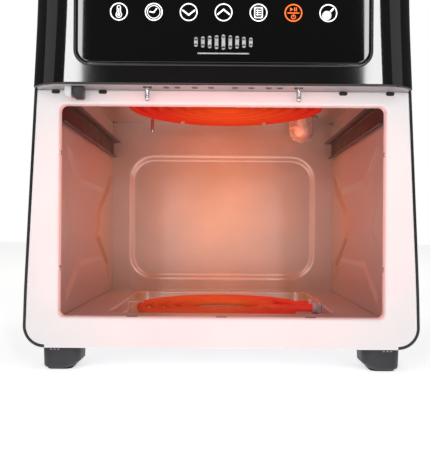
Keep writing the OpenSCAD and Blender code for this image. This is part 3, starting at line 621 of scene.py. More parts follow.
def heat_fade():
    """Colour that goes from hot to cool with the distance from a place."""
    tree, start, end = new_effect("Heat Fade", [
        ("Vector", VECTOR, None), ("Centre", VECTOR, (0, 0, 0)), ("Near", FLOAT, 0.02), ("Far", FLOAT, 0.1),
        ("Hot Color", COLOR, (0.9, 0.1, 0.01, 1)), ("Cool Color", COLOR, (0.7, 0.01, 0.005, 1)),
    ], [("Color", COLOR)])
    reach = node_in(tree, "ShaderNodeVectorMath", (-400, 0), {"operation": "DISTANCE"})
    span = node_in(tree, "ShaderNodeMapRange", (-150, 0), {"clamp": True, "interpolation_type": "SMOOTHSTEP"})
    cf, ca, cb, co = mix_node(tree, "RGBA", (200, 0))
    link = tree.links.new
    link(start.outputs["Vector"], reach.inputs[0])
    link(start.outputs["Centre"], reach.inputs[1])
    link(reach.outputs["Value"], span.inputs["Value"])
    link(start.outputs["Near"], span.inputs["From Min"])
    link(start.outputs["Far"], span.inputs["From Max"])
    link(span.outputs["Result"], cf)
    link(start.outputs["Hot Color"], ca)
    link(start.outputs["Cool Color"], cb)
    link(co, end.inputs["Color"])
    return tree


class Surface:
    """Builds one material: a Principled shader fed by shared effects."""

    def __init__(self, name, **constants):
        self.material = bpy.data.materials.new(name)
        self.material.use_nodes = True
        self.tree = self.material.node_tree
        self.tree.nodes.clear()
        self.shader = node_in(self.tree, "ShaderNodeBsdfPrincipled", (300, 0))
        self.out = node_in(self.tree, "ShaderNodeOutputMaterial", (600, 0))
        self.place = node_in(self.tree, "ShaderNodeTexCoord", (-900, 0))
        self.link(self.shader.outputs["BSDF"], self.out.inputs["Surface"])
        for key, value in constants.items():
            self.shader.inputs[key.replace("_", " ")].default_value = value
        self.step = -700

    def link(self, a, b):
        self.tree.links.new(a, b)

    def over(self, node, maker, **values):
        """Lays an effect over another node's Color and Roughness."""
        layer = self.apply(maker, **values)
        for label in ("Color", "Roughness"):
            self.link(node.outputs[label], layer.inputs[label])
        return layer

    def apply(self, maker, **values):
        """Places a shared effect, fed by the piece's own coordinates."""
        node = self.tree.nodes.new("ShaderNodeGroup")
        node.node_tree = once(maker)
        node.location = (self.step, 100)
        self.step += 220
        for key, value in values.items():
            socket = node.inputs[key.replace("_", " ")]
            socket.default_value = (*value, 1.0) if socket.type == "RGBA" and len(value) == 3 else value
        if "Vector" in node.inputs:
            self.link(self.place.outputs["Object"], node.inputs["Vector"])
        return node

    def coloured(self, first, second, rough, scale, dust=0.0, wear=None):
        """Base Color and Roughness from tone drift, then wear, then dust."""
        node = self.apply(tone_drift, First_Color=first, Second_Color=second, First_Roughness=rough[0],
                          Second_Roughness=rough[1], Scale=scale)
        if wear:
            node = self.over(node, edge_wear, Worn_Color=wear[0], Worn_Roughness=wear[1], Amount=wear[2])
        if dust:
            node = self.over(node, settled_dust, Amount=dust)
        self.link(node.outputs["Color"], self.shader.inputs["Base Color"])
        self.link(node.outputs["Roughness"], self.shader.inputs["Roughness"])
        return self

    def grained(self, scale, strength, stretch=(1, 1, 1), depth=0.0002):
        """Relief from fine grain."""
        grain = self.apply(fine_grain, Scale=scale, Stretch=stretch)
        bump = node_in(self.tree, "ShaderNodeBump", (80, -300), None, Strength=strength, Distance=depth)
        self.link(grain.outputs["Height"], bump.inputs["Height"])
        self.link(bump.outputs["Normal"], self.shader.inputs["Normal"])
        return self

    def glowing_with_edge_shade(self, hot, cool, centre, near, far, strength):
        """Emission that fades with the distance from a place, and to black above the tube's own level, with
        painted shade that dims it where the tube turns away from the view.
        """
        warm = self.apply(heat_fade, Hot_Color=hot, Cool_Color=cool, Centre=[c * MM for c in centre],
                          Near=near * MM, Far=far * MM)
        below = (0.0, AXIS_Y, centre[2] - 500.0)
        node = self.apply(heat_fade, Cool_Color=(0, 0, 0), Centre=[c * MM for c in below], Near=0.511,
                          Far=0.517)
        self.link(warm.outputs["Color"], node.inputs["Hot Color"])
        # Painted shade: the glow is mixed towards a darker red where the tube's face turns away from the
        # view, to give the tubes relief.
        edge_shade_weight = node_in(self.tree, "ShaderNodeLayerWeight", (-100, -500), None, Blend=0.35)
        factor, first, second, result = mix_node(self.tree, "RGBA", (100, -500))
        second.default_value = (cool[0] * 0.45, cool[1] * 0.4, cool[2] * 0.4, 1)
        self.link(edge_shade_weight.outputs["Facing"], factor)
        self.link(node.outputs["Color"], first)
        self.link(result, self.shader.inputs["Emission Color"])
        self.shader.inputs["Emission Strength"].default_value = strength
        return self


def recipe(first, second, rough, drift, grain, metal=0, dust=0.0, wear=None, coat=0.0):
    """A finish: two tones, roughness, drift and grain, and what else lies on it.

    Grain is (scale, strength, stretch), and wear is (colour, roughness, amount).
    """
    return first, second, rough, drift, metal, grain, dust, wear, coat


FINISHES = {
    "housing_black": recipe((0.010, 0.010, 0.012), (0.016, 0.016, 0.018), (0.22, 0.32), 14, (700, 0.02),
                            dust=0.05),
    "hood_gloss": recipe((0.0045, 0.0045, 0.005), (0.007, 0.0065, 0.007), (0.05, 0.09), 9, (160, 0.0008),
                         dust=0.04, coat=0.5),
    "rear_black": recipe((0.018, 0.019, 0.021), (0.026, 0.027, 0.03), (0.5, 0.62), 30, (1100, 0.45),
                         dust=0.10),
    "frame_grey": recipe((0.78, 0.782, 0.79), (0.83, 0.83, 0.835), (0.36, 0.44), 12, (1500, 0.05), dust=0.02),
    "plate_grey": recipe((0.30, 0.30, 0.31), (0.40, 0.40, 0.41), (0.35, 0.5), 40, (1200, 0.2), dust=0.05),
    "base_zinc": recipe((0.34, 0.35, 0.37), (0.50, 0.51, 0.53), (0.32, 0.5), 60, (400, 0.15), metal=0.9,
                        dust=0.10, wear=((0.7, 0.7, 0.7), 0.3, 0.4)),
    "panel_glass": recipe((0.0028, 0.0028, 0.003), (0.0042, 0.004, 0.0042), (0.012, 0.03), 7, (90, 0.0003)),
    "bezel": recipe((0.014, 0.014, 0.016), (0.024, 0.024, 0.027), (0.14, 0.20), 20, (900, 0.04), metal=0.2,
                    coat=0.3),
    "mark_silver": recipe((0.52, 0.52, 0.53), (0.66, 0.66, 0.67), (0.3, 0.42), 300, (2500, 0.2), metal=0.5),
    "liner_steel": recipe((0.44, 0.44, 0.445), (0.475, 0.475, 0.48), (0.30, 0.36), 26,
                          (1600, 0.10, (1, 0.12, 1)), metal=0.6),
    # Near-black here is painted shade: the rails take it for the shade in their recessed channel, and the
    # sill's drain slots for the shade in their holes; the lighter edges come from the edge-wear effect.
    "rail_dark": recipe((0.035, 0.032, 0.032), (0.060, 0.052, 0.050), (0.35, 0.5), 50,
                        (900, 0.2, (1, 0.2, 1)), metal=0.3, wear=((0.35, 0.33, 0.32), 0.35, 0.8)),
    "bracket_steel": recipe((0.50, 0.49, 0.48), (0.66, 0.64, 0.63), (0.28, 0.42), 90, (1500, 0.1),
                            metal=0.85, wear=((0.8, 0.8, 0.8), 0.25, 0.5)),
    "ceramic_white": recipe((0.60, 0.57, 0.53), (0.72, 0.69, 0.64), (0.55, 0.7), 80, (1300, 0.3), dust=0.03),
    "board_green": recipe((0.010, 0.10, 0.035), (0.020, 0.14, 0.05), (0.3, 0.45), 120, (700, 0.3), dust=0.05,
                          coat=0.2),
    "motor_iron": recipe((0.13, 0.13, 0.14), (0.22, 0.22, 0.23), (0.4, 0.55), 70, (900, 0.4, (1, 1, 6)),
                         metal=0.8, dust=0.06, wear=((0.5, 0.5, 0.5), 0.3, 0.5)),
    "bronze": recipe((0.45, 0.26, 0.10), (0.58, 0.35, 0.15), (0.28, 0.4), 150, (900, 0.1), metal=0.95),
    "fan_alu": recipe((0.52, 0.52, 0.53), (0.66, 0.66, 0.67), (0.3, 0.44), 60, (700, 0.15), metal=0.85,
                      dust=0.03, wear=((0.8, 0.8, 0.8), 0.25, 0.5)),
    "shaft_steel": recipe((0.58, 0.58, 0.59), (0.70, 0.70, 0.71), (0.16, 0.26), 120, (1300, 0.05, (1, 1, 9)),
                          metal=1.0),
    "pin_steel": recipe((0.66, 0.66, 0.67), (0.78, 0.78, 0.79), (0.12, 0.22), 200, (1600, 0.05, (1, 1, 6)),
                        metal=1.0),
    "switch_grey": recipe((0.62, 0.62, 0.62), (0.72, 0.72, 0.72), (0.35, 0.45), 90, (1500, 0.12)),
    # Dark plastic of the switch parts; the hood's vent openings and the catch pins' holes also take it as
    # painted shade.
    "switch_dark": recipe((0.018, 0.018, 0.02), (0.032, 0.032, 0.035), (0.3, 0.42), 90, (1500, 0.2)),
    "foot_grey": recipe((0.022, 0.024, 0.028), (0.034, 0.037, 0.042), (0.42, 0.55), 60, (1800, 0.3),
                        dust=0.05),
    # Black rubber of the feet and gland; the frame's recess slots also take it as painted shade.
    "pad_rubber": recipe((0.012, 0.012, 0.013), (0.022, 0.022, 0.023), (0.7, 0.85), 90, (1200, 0.5),
                         dust=0.08),
    "screw_zinc": recipe((0.55, 0.55, 0.56), (0.70, 0.70, 0.71), (0.25, 0.38), 250, (1800, 0.1), metal=0.95),
}
MADE = {}


def print_ink(slot, tone, second, strength):
    """Back-lit print: its colour drifts a little and gives off light."""
    ink = Surface(slot, Emission_Strength=strength).coloured(tone, second, (0.4, 0.5), 500).grained(2500, 0.1)
    node = ink.apply(tone_drift, First_Color=tone, Second_Color=second, Scale=500.0)
    ink.link(node.outputs["Color"], ink.shader.inputs["Emission Color"])
    return ink.material


def finish(slot):
    """The material of a slot, made the first time that it is asked for."""
    if slot in MADE:
        return MADE[slot]
    look = bpy.context.scene.fryer_looks
    if slot == "mark_white":
        made = print_ink(slot, (0.86, 0.86, 0.86), (0.95, 0.95, 0.94), look.mark_glow)
    elif slot == "mark_orange":
        tone = tuple(look.start_color)
        made = print_ink(slot, tone, tuple(c * 0.85 for c in tone), look.mark_glow)
    elif slot == "heater_top":
        hot = Surface(slot).coloured((0.05, 0.01, 0.006), (0.08, 0.015, 0.009), (0.6, 0.75), 120)
        hot.grained(900, 0.3)
        hot.glowing_with_edge_shade(look.coil_color, look.coil_edge_color, (10, AXIS_Y + 20, COIL_Z), 30, 92, look.heat)
        made = hot.material
    elif slot == "heater_low":
        hot = Surface(slot).coloured((0.12, 0.03, 0.015), (0.18, 0.04, 0.02), (0.6, 0.75), 120)
        hot.grained(900, 0.3)
        hot.glowing_with_edge_shade(look.floor_color, look.coil_edge_color, (-25, AXIS_Y, LOW_Z), 60, 96, look.heat * 0.72)
        made = hot.material
    elif slot == "lamp_glass":
        glass = Surface(slot, Transmission_Weight=0.9, IOR=1.48, Emission_Strength=0.02)
        glass.shader.inputs["Emission Color"].default_value = (1.0, 0.5, 0.42, 1)
        glass.coloured((0.95, 0.82, 0.80), (0.98, 0.88, 0.86), (0.12, 0.3), 60)
        made = glass.grained(140, 0.25, (1, 1, 5), 0.0006).material
    elif slot == "bulb_glass":
        bulb = Surface(slot, Emission_Strength=0.1)
        bulb.shader.inputs["Emission Color"].default_value = (1.0, 0.7, 0.5, 1)
        bulb.coloured((0.85, 0.75, 0.62), (0.95, 0.85, 0.72), (0.15, 0.25), 90)
        made = bulb.grained(500, 0.05).material
    else:
        first, second, rough, scale, metal, grain, dust, wear, coat = FINISHES[slot]
        made = Surface(slot, Metallic=metal, Coat_Weight=coat, Coat_Roughness=0.04)
        made = made.coloured(first, second, rough, scale, dust, wear).grained(*grain).material
    MADE[slot] = made
    return made


# ---------------------------------------------------------------- housing
COVER_HEIGHTS = (44, 50, 60, 70, 85, 110, 150, 190, 225, 230.99, 231.0, 250, 270, 285, 300, 315, 325, SEAM_Z)


def cover_path(inset):
    """Right half of the housing's section from the base to the middle of the top."""
    path = arc(BASE_HALF, BASE_Z + CORNER_R, CORNER_R - inset, -90, 0, 12)
    path += [(side_half(z) - inset, z) for z in COVER_HEIGHTS]
    path += arc(side_half(TOP_Z) - TOP_R, TOP_Z - TOP_R, TOP_R - inset, 0, 90, 14)[1:]
    path += [(x, TOP_Z - inset) for x in (90.0, 45.0, 0.0)]
    return path


def cover_rings(first, last, side):
    """Rings across the cover's wall for a stretch of the path."""
    paths = {i: cover_path(i) for i in (0.0, 0.3, 1.0, SHELL)}
    rings = []
    for k in range(first, last):
        front = HOOD_BACK_Y if paths[0.0][k][1] >= HEAD_Z else FRAME_Y
        section = [(0.0, REAR_Y - 1.0), (0.0, REAR_Y - 2.0), (0.0, front + 2.0), (0.0, front + 1.0),
                   (0.3, front + 0.3), (1.0, front), (SHELL, front), (SHELL, REAR_Y), (1.0, REAR_Y),
                   (0.3, REAR_Y - 0.3)]
        rings.append([(side * paths[i][k][0], y, paths[i][k][1]) for i, y in section])
    return rings


def build_covers():
    """Side panels up to the seam, and the top panel over them."""
    path = cover_path(0.0)
    seam = next(k for k, p in enumerate(path) if p[1] == SEAM_Z)
    for side, hand in SIDES:
        cover = Shape().loft(cover_rings(0, seam + 1, side))
        piece(cover, f"side_panel_{hand}", "housing_black", stands_for=(f"side_cover_{hand}",), bevel=0.35)
    right = cover_rings(seam, len(path), 1)
    left = cover_rings(seam, len(path), -1)[::-1]
    piece(Shape().loft(right + left[1:]), "top_panel", "housing_black", stands_for=("top_cover",), bevel=0.35)


FRAME_HEIGHTS = (50, 62, 80, 105, 135, 165, 195, 215)


def frame_loop(trim):
    """Outer edge of the front frame, trimmed inwards all round."""
    top = HEAD_Z - 0.2 - trim
    corner = [(BASE_HALF, BASE_Z + trim)] + arc(BASE_HALF, BASE_Z + CORNER_R,
                                                CORNER_R - SHELL - FRAME_GAP - trim, -90, 0, 9)
    side = [(side_half(z) - SHELL - FRAME_GAP - trim, z) for z in FRAME_HEIGHTS]
    edge = side_half(top) - SHELL - FRAME_GAP - trim
    right = corner + side + arc(edge - 1.0, top - 1.0, 1.0, 0, 90, 10)
    left = [(-x, z) for x, z in right[::-1]]
    fill = 10
    return right + between(right[-1], left[0], fill) + left + between(left[-1], right[0], fill)


def mouth_loop(grow):
    """Edge of the oven's mouth, with as many points as the frame's outer edge."""
    half, z0, z1, r = MOUTH_HALF + grow, MOUTH_Z0 - grow, MOUTH_Z1 + grow, 5.0 + grow
    right = arc(half - r, z0 + r, r, -90, 0, 10)
    right += [(half, z) for z in (54, 66, 84, 107, 135, 162, 190, 210)]
    right += arc(half - r, z1 - r, r, 0, 90, 10)
    left = [(-x, z) for x, z in right[::-1]]
    fill = 10
    return right + between(right[-1], left[0], fill) + left + between(left[-1], right[0], fill)


def at_depth(loop, y):
    """A flat loop seen from the front, set at a depth."""
    return [(x, y, z) for x, z in loop]


def build_frame():
    """Front frame with its folded mouth, what is fixed to it, and painted shade in its drain and recess
    slots.
    """
    rings = [at_depth(frame_loop(t), y) for t,
             y in ((0, LINER_Y), (0, -140.2), (0.25, -140.75), (0.8, FRAME_Y), (1.4, FRAME_Y))]
    rings += [at_depth(mouth_loop(g), y) for g,
              y in ((2.9, FRAME_Y), (2.2, FRAME_Y), (1.3, -140.8), (0.6, -140.3), (0.15, -139.5),
                    (0, -138.5), (0, -132.8), (0.4, -132.5), (0.9, -132.5), (1.2, -132.8), (1.2, LINER_Y))]
    piece(Shape().loft(rings, wrap=True), "front_frame_panel", "frame_grey", stands_for=("front_frame",),
          angle=50)
    # Painted shade: flat dark slots on the sill stand for the shade in the drain holes, which are not cut.
    slots = Shape()
    slots.prism(rounded_loop(-4.6, 4.6, -1.5, 1.5, 1.45, 5), -0.05, 0.35, "Z")
    repeat("sill_drains", slots, [(x, -136.2, MOUTH_Z0, 0, 0, 0) for x in (-74, 0, 74)], "rail_dark")
    head = Shape().lathe([(0, 0.9), (1.3, 0.75), (1.9, 0.3), (2.0, 0), (2.0, -0.3), (0, -0.3)], (0, 0, 0),
                         steps=20)
    pips = [(s * (MOUTH_HALF - 0.35), FRAME_Y + 4.5, z, 0, -90 * s, 0)
            for s in (-1, 1) for z in (84.6, 179.7)]
    repeat("liner_rivets", head, pips, "screw_zinc", stands_for=("liner_screws",))
    # Painted shade: dark raised pads under the hood stand for the shade in the frame's recess slots.
    pad = Shape().loft([[(x * k, y, z * k) for x, z in rounded_loop(-3.4, 3.4, -1.6, 1.6, 1.55, 6)]
                        for y, k in ((0.4, 1.0), (-0.6, 1.0), (-1.1, 0.85), (-1.3, 0.5))])
    repeat("door_buffers", pad, [(x, FRAME_Y, HEAD_Z - 1.9, 0, 0, 0) for x in (-137, -98.5, 98.5, 137)],
           "pad_rubber")


# ---------------------------------------------------------------- hood and controls
def hood_ring(z, trim, inset=0.0):
    """Plan of the hood at a height, from its right rear round the front to its left rear."""
    rise = max(0.0, z - (TOP_Z - HOOD_R))
    set_back = HOOD_R - math.sqrt(max(0.0, HOOD_R ** 2 - rise * rise))
    if z > SEAM_Z:
        half = side_half(z) - TOP_R + math.sqrt(max(0.0, TOP_R ** 2 - (z - SEAM_Z) ** 2))
    else:
        half = side_half(z)
    half -= trim
    ry = max(0.4, HOOD_R - set_back - trim)
    rx = ry * HOOD_STRETCH
    front = HOOD_Y + set_back + trim
    right = [(half, HOOD_BACK_Y)] + between((half, HOOD_BACK_Y), (half, front + ry), 2)
    right += arc(half - rx, front + ry, rx, 0, -90, 14, ry)
    right.append((half - rx - 1.0, front))
    fill = between(right[-1], (-right[-1][0], right[-1][1]), 11)
    return [(x, y, z) for x, y in right + fill + [(-x, y) for x, y in right[::-1]]]


# Angles up the hood's upper edge, in degrees
HOOD_TURNS = (7, 14, 22, 30, 38, 46, 54, 62, 70, 77, 83, 87, 90)


def hood_levels():
    """Heights of the hood's rings, and how far each is trimmed."""
    levels = [(HEAD_Z, 1.0), (HEAD_Z + 0.3, 0.35), (HEAD_Z + 1.0, 0.0), (HEAD_Z + 2.0, 0.0)]
    levels += [(z, 0.0) for z in (245, 262, 280, 300, 318, SEAM_Z - 1, SEAM_Z)]
    levels += [(SEAM_Z + TOP_R * math.sin(math.radians(a)), 0.0) for a in HOOD_TURNS]
    return levels


def panel_loop(grow):
    """Outline of the touch panel, grown all round."""
    return rounded_loop(-PANEL_HALF - grow, PANEL_HALF + grow, PANEL_Z0 - grow, PANEL_Z1 + grow,
                        PANEL_R + grow, 10)


def build_hood():
    """Gloss shell round the front, with the panel's opening cut in it."""
    rings = [hood_ring(z, t) for z, t in hood_levels()]
    n = len(rings[0])
    skin = Shape()
    skin.loft(rings, closed=False, caps=False)
    skin.faces.append(tuple((len(rings) - 1) * n + j for j in range(n)))
    cut = Shape().prism(panel_loop(2.4), HOOD_Y - 4.0, HOOD_Y + 4.0)
    piece(skin, "hood_shell", "hood_gloss", stands_for=("hood_front",), wall=-SHELL, angle=30, cut=cut)


def floor_plan(trim, z, rear):
    """Plan of the plate under the hood."""
    half = side_half(HEAD_Z) - trim
    front = HOOD_Y + trim
    r = HOOD_R - trim
    rx = r * HOOD_STRETCH
    right = [(half, rear), (half, front + r)] + arc(half - rx, front + r, rx, 0, -90, 12, r)
    fill = between(right[-1], (-right[-1][0], right[-1][1]), 5)
    return [(x, y, z) for x, y in right + fill + [(-x, y) for x, y in right[::-1]]]


def build_hood_floor():
    """Plate under the hood, with painted shade in its vent openings and round the catch pins' holes."""
    plate = Shape().loft([
        floor_plan(2.4, HEAD_Z + 1.5, FRAME_Y + 2.4), floor_plan(2.4, HEAD_Z + 0.3, FRAME_Y + 2.4),
        floor_plan(2.9, HEAD_Z - 0.1, FRAME_Y + 1.9), floor_plan(6.2, HEAD_Z - 0.1, FRAME_Y - 0.4),
        floor_plan(6.9, HEAD_Z + 0.7, FRAME_Y - 0.5)])
    piece(plate, "hood_floor_plate", "plate_grey", stands_for=("hood_floor",), angle=25)
    # Painted shade: flat dark ovals stand for the shade in the vent openings, which are not cut.
    oval = Shape().prism(rounded_loop(-2.4, 2.4, -4.5, 4.5, 2.35, 6), -0.25, 0.3, "Z")
    places = [(s * x, CATCH_Y + 1, HEAD_Z + 0.7, 0, 0, 0) for s in (-1, 1) for x in (9.6, 23, 37, 46)]
    repeat("hood_vents", oval, places, "switch_dark")
    # Painted shade: dark rings round the catch pins stand for the shade in the plate's holes, which are not
    # cut.
    pin_hole_shade = Shape().ring([(2.35, -0.9), (3.3, -0.9), (3.6, -0.5), (3.6, 0.6), (2.35, 0.6)], (0, 0, 0),
                          steps=28)
    repeat("catch_collars", pin_hole_shade, [(s * CATCH_X, CATCH_Y, HEAD_Z + 0.4, 0, 0, 0) for s in (-1, 1)],
           "switch_dark")


def build_panel():
    """Touch glass and the thin bezel round it."""
    rings = [at_depth(panel_loop(g), y) for g,
             y in ((-0.15, -157.8), (-0.15, -160.2), (-0.4, -160.62), (-1.0, PANEL_Y), (-1.5, PANEL_Y))]
    piece(Shape().loft(rings), "touch_glass", "panel_glass", stands_for=("touch_panel",), angle=30)
    rings = [at_depth(panel_loop(g), y) for g,
             y in ((0.05, -157.8), (0.05, -160.0), (0.35, -160.45), (0.8, -160.55), (1.5, -160.5),
                   (2.1, -160.2), (2.35, -159.7), (2.35, -157.8))]
    piece(Shape().loft(rings, wrap=True), "glass_bezel", "bezel", stands_for=("panel_bezel",), angle=28)


def stroke(shape, points, width, closed=False):
    """A flat line of even width along points."""
    loop = points + points[:1] if closed else points
    for (ax, az), (bx, bz) in zip(loop, loop[1:]):
        length = math.hypot(bx - ax, bz - az)
        nx, nz = (bz - az) / length * width / 2, (ax - bx) / length * width / 2
        shape.prism([(ax + nx, az + nz), (bx + nx, bz + nz), (bx - nx, bz - nz), (ax - nx, az - nz)],
                    MARKS_Y + 0.02, INK_Y)
    for x, z in points:
        shape.prism(arc(x, z, width / 2, 0, 337.5, 15), MARKS_Y + 0.02, INK_Y)
    return shape


def hoop(shape, x, z, r, width, a0=0, a1=360):
    """A flat circle or arc of even width."""
    n = 48
    outer = arc(x, z, r, a0, a1, n)
    inner = arc(x, z, r - width, a0, a1, n)
    if a1 - a0 == 360:
        outer, inner = outer[:-1], inner[:-1]
    rings = [[(p[0], y, p[1]) for y in (MARKS_Y, INK_Y) for p in ((o, i) if y == MARKS_Y else (i, o))]
             for o, i in zip(outer, inner)]
    return shape.loft(rings, wrap=a1 - a0 == 360)


def dot(shape, x, z, r):
    """A flat disc."""
    return shape.prism(arc(x, z, r, 0, 345, 23), MARKS_Y, INK_Y)


def thermometer(ink, x):
    """Bulb, tube and filling."""
    hoop(ink, x, KEY_Z - 2.3, 2.5, 0.55, 125, 415)
    hoop(ink, x, KEY_Z + 3.6, 1.5, 0.5, 0, 180)
    for dx in (-1.35, 1.35):
        stroke(ink, [(x + dx, KEY_Z + 3.6), (x + dx, KEY_Z - 0.3)], 0.5)
    dot(ink, x, KEY_Z - 2.3, 1.15)
    stroke(ink, [(x, KEY_Z - 2.0), (x, KEY_Z + 2.6)], 0.7)


def clock(ink, x):
    """Dial with two hands."""
    hoop(ink, x, KEY_Z, 5.2, 0.5)
    stroke(ink, [(x + 2.2, KEY_Z + 2.6), (x - 0.1, KEY_Z - 0.4), (x - 3.0, KEY_Z + 0.1)], 0.95)


def down_arrow(ink, x):
    stroke(ink, [(x - 4.6, KEY_Z + 1.3), (x, KEY_Z - 2.2), (x + 4.6, KEY_Z + 1.3)], 1.2)


def up_arrow(ink, x):
    stroke(ink, [(x - 4.6, KEY_Z - 1.5), (x, KEY_Z + 2.2), (x + 4.6, KEY_Z - 1.5)], 1.2)


def menu_card(ink, x):
    """Card with three rows and a column."""
    stroke(ink, rounded_loop(x - 3.0, x + 3.0, KEY_Z - 3.9, KEY_Z + 3.9, 1.0, 4), 0.8, closed=True)
    for row in (-1.6, 0.1, 1.8):
        stroke(ink, [(x - 1.7, KEY_Z + row), (x + 1.9, KEY_Z + row)], 0.55)
    stroke(ink, [(x - 0.7, KEY_Z + 2.2), (x - 0.7, KEY_Z - 2.2)], 0.45)


def roast(ink, x):
    """Round of meat on its bone."""
    dot(ink, x - 1.2, KEY_Z - 1.9, 2.7)
    hoop(ink, x - 1.2, KEY_Z - 1.9, 3.5, 0.4)
    stroke(ink, [(x + 1.9, KEY_Z + 1.4), (x + 3.6, KEY_Z + 3.2)], 1.3)


def start_and_power(ink, x):
    """Play and pause signs over a power sign."""
    stroke(ink, [(x - 4.4, KEY_Z - 0.1), (x + 4.4, KEY_Z - 0.1)], 0.7)
    ink.prism([(x - 2.6, KEY_Z + 1.2), (x - 0.4, KEY_Z + 2.7), (x - 2.6, KEY_Z + 4.2)], MARKS_Y, INK_Y)
    for dx in (0.9, 2.3):
        stroke(ink, [(x + dx, KEY_Z + 1.5), (x + dx, KEY_Z + 3.9)], 0.75)
    hoop(ink, x, KEY_Z - 3.2, 1.9, 0.6, 120, 420)
    stroke(ink, [(x, KEY_Z - 1.1), (x, KEY_Z - 3.2)], 0.6)


# White keys by their place in the row, counted from the middle
KEYS = ((-3, thermometer), (-2, clock), (-1, down_arrow), (0, up_arrow), (1, menu_card), (3, roast))
# Strokes of one display figure: place, and whether the stroke stands up
STROKES = ((0, 8, 0), (4.5, 4, 1), (4.5, -4, 1), (0, -8, 0), (-4.5, -4, 1), (-4.5, 4, 1), (0, 0, 0))
ZERO = (0, 1, 2, 3, 4, 5)
FIGURES = ((-28, (1, 2)), (-12, (0, 2, 3, 5, 6)), (12, ZERO), (28, ZERO))


def build_marks(size):
    """Printed keys, emblem and display figures."""
    ring, line = size.key_ring / MM, size.key_line / MM
    ink = Shape()
    for k, symbol in KEYS:
        hoop(ink, k * KEY_PITCH, KEY_Z, ring, line)
    for k, symbol in KEYS:
        symbol(ink, k * KEY_PITCH)
    piece(ink, "key_marks", "mark_white", stands_for=("control_icons",), angle=20)
    start = Shape()
    hoop(start, 2 * KEY_PITCH, KEY_Z, ring, line * 1.1)
    start_and_power(start, 2 * KEY_PITCH)
    piece(start, "start_mark", "mark_orange", stands_for=("start_icon",), angle=20)
    bars = Shape()
    for k in range(-4, 5):
        h = 4.6 - 0.55 * abs(k)
        stroke(bars, [(k * 5.4, EMBLEM_Z - h), (k * 5.4, EMBLEM_Z + h)], 2.8)
    stroke(bars, [(-20.0, 255.6), (20.0, 255.6)], 1.0)
    piece(bars, "panel_emblem", "mark_silver", stands_for=("badge",), angle=20)
    figures = Shape()
    for x, lit in FIGURES:
        for k in lit:
            dx, dz, up = STROKES[k]
            cx, cz = x + dx, DIGIT_Z + dz
            reach = 2.9 if up else 3.3
            ends = [(cx, cz - reach), (cx, cz + reach)] if up else [(cx - reach, cz), (cx + reach, cz)]
            stroke(figures, ends, 1.3)
    for dz in (-3.4, 3.4):
        dot(figures, 0, DIGIT_Z + dz, 0.95)
    piece(figures, "display_figures", "mark_white", stands_for=("display_digits",), angle=20)


# ---------------------------------------------------------------- oven liner
# Outline of the pressed field in a side wall: depth behind the frame's face, and height
CROSS = [(33, 189), (84, 162), (200, 162), (240, 183), (232, 165), (180, 139), (172, 109), (205, 91),
         (230, 77), (230, 57), (200, 84), (86, 84), (32, 55), (27, 101), (58, 121), (31, 142)]


def wall_levels(lo, hi, count):
    """Even steps from one value to another, both included."""
    return [lo + (hi - lo) * i / count for i in range(count + 1)]


def build_walls(size):
    """Side walls with their pressed cross, and the back wall with its pressed field."""
    cross = [(FRAME_Y + d, z) for d, z in CROSS]
    edge = size.press_edge / MM
    for side, hand in SIDES:
        rows = []
        for z in wall_levels(FLOOR_Z - SHEET, CEIL_Z, 104):
            row = []
            for y in wall_levels(LINER_Y, BACK_Y, 128):
                press = size.wall_press / MM * smooth((edge_distance(y, z, cross) + 1.0) / edge)
                row.append((side * (CAVITY_HALF + press), y, z))
            rows.append(row)
        sheet = Shape().loft(rows, closed=False, caps=False)
        if side > 0:
            sheet.faces = [f[::-1] for f in sheet.faces]
        piece(sheet, f"liner_{hand}_sheet", "liner_steel", stands_for=(f"liner_{hand}",), wall=SHEET,
              angle=60)
    field = rounded_loop(-112, 112, 59, 206, 27, 10)
    rows = []
    for z in wall_levels(FLOOR_Z - SHEET, CEIL_Z, 96):
        row = []
        for x in wall_levels(-CAVITY_HALF, CAVITY_HALF, 120):
            press = size.back_press / MM * smooth((edge_distance(x, z, field) + 1.0) / edge)
            row.append((x, BACK_Y + press, z))
        rows.append(row)
    sheet = Shape().loft(rows, closed=False, caps=False)
    sheet.faces = [f[::-1] for f in sheet.faces]
    piece(sheet, "liner_back_sheet", "liner_steel", stands_for=("liner_back",), wall=SHEET, angle=60)


def build_ceiling():
    """Ceiling sheet round the fan's hole, and the strip that it turns down behind the frame."""
    around = 96
    turn = [2 * math.pi * i / around for i in range(around)]
    circle = [(HOLE_R * math.cos(a), AXIS_Y + HOLE_R * math.sin(a)) for a in turn]

    def to_edge(x, y):
        dx, dy = x, y - AXIS_Y
        depth = BACK_Y - AXIS_Y if dy > 0 else AXIS_Y - LINER_Y
        reach = min(CAVITY_HALF / max(abs(dx), 1e-6), depth / max(abs(dy), 1e-6))
        return (dx * reach, AXIS_Y + dy * reach)

    def lip(r, z):
        return [(x * r / HOLE_R, AXIS_Y + (y - AXIS_Y) * r / HOLE_R, z) for x, y in circle]

    outer = [to_edge(x, y) for x, y in circle]
    top = Shape().loft([[(x, y, CEIL_Z + SHEET) for x, y in outer], [(x, y, CEIL_Z) for x, y in outer],
                        lip(95.5, CEIL_Z), lip(93.6, CEIL_Z + 0.1), lip(92.6, CEIL_Z + 0.4),
                        lip(HOLE_R, CEIL_Z + SHEET)], wrap=True)
    top.box((-CAVITY_HALF, CAVITY_HALF), (LINER_Y, LINER_Y + SHEET), (MOUTH_Z1 + 2.4, CEIL_Z))
    piece(top, "liner_ceiling_sheet", "liner_steel", stands_for=("liner_ceiling",), angle=40)


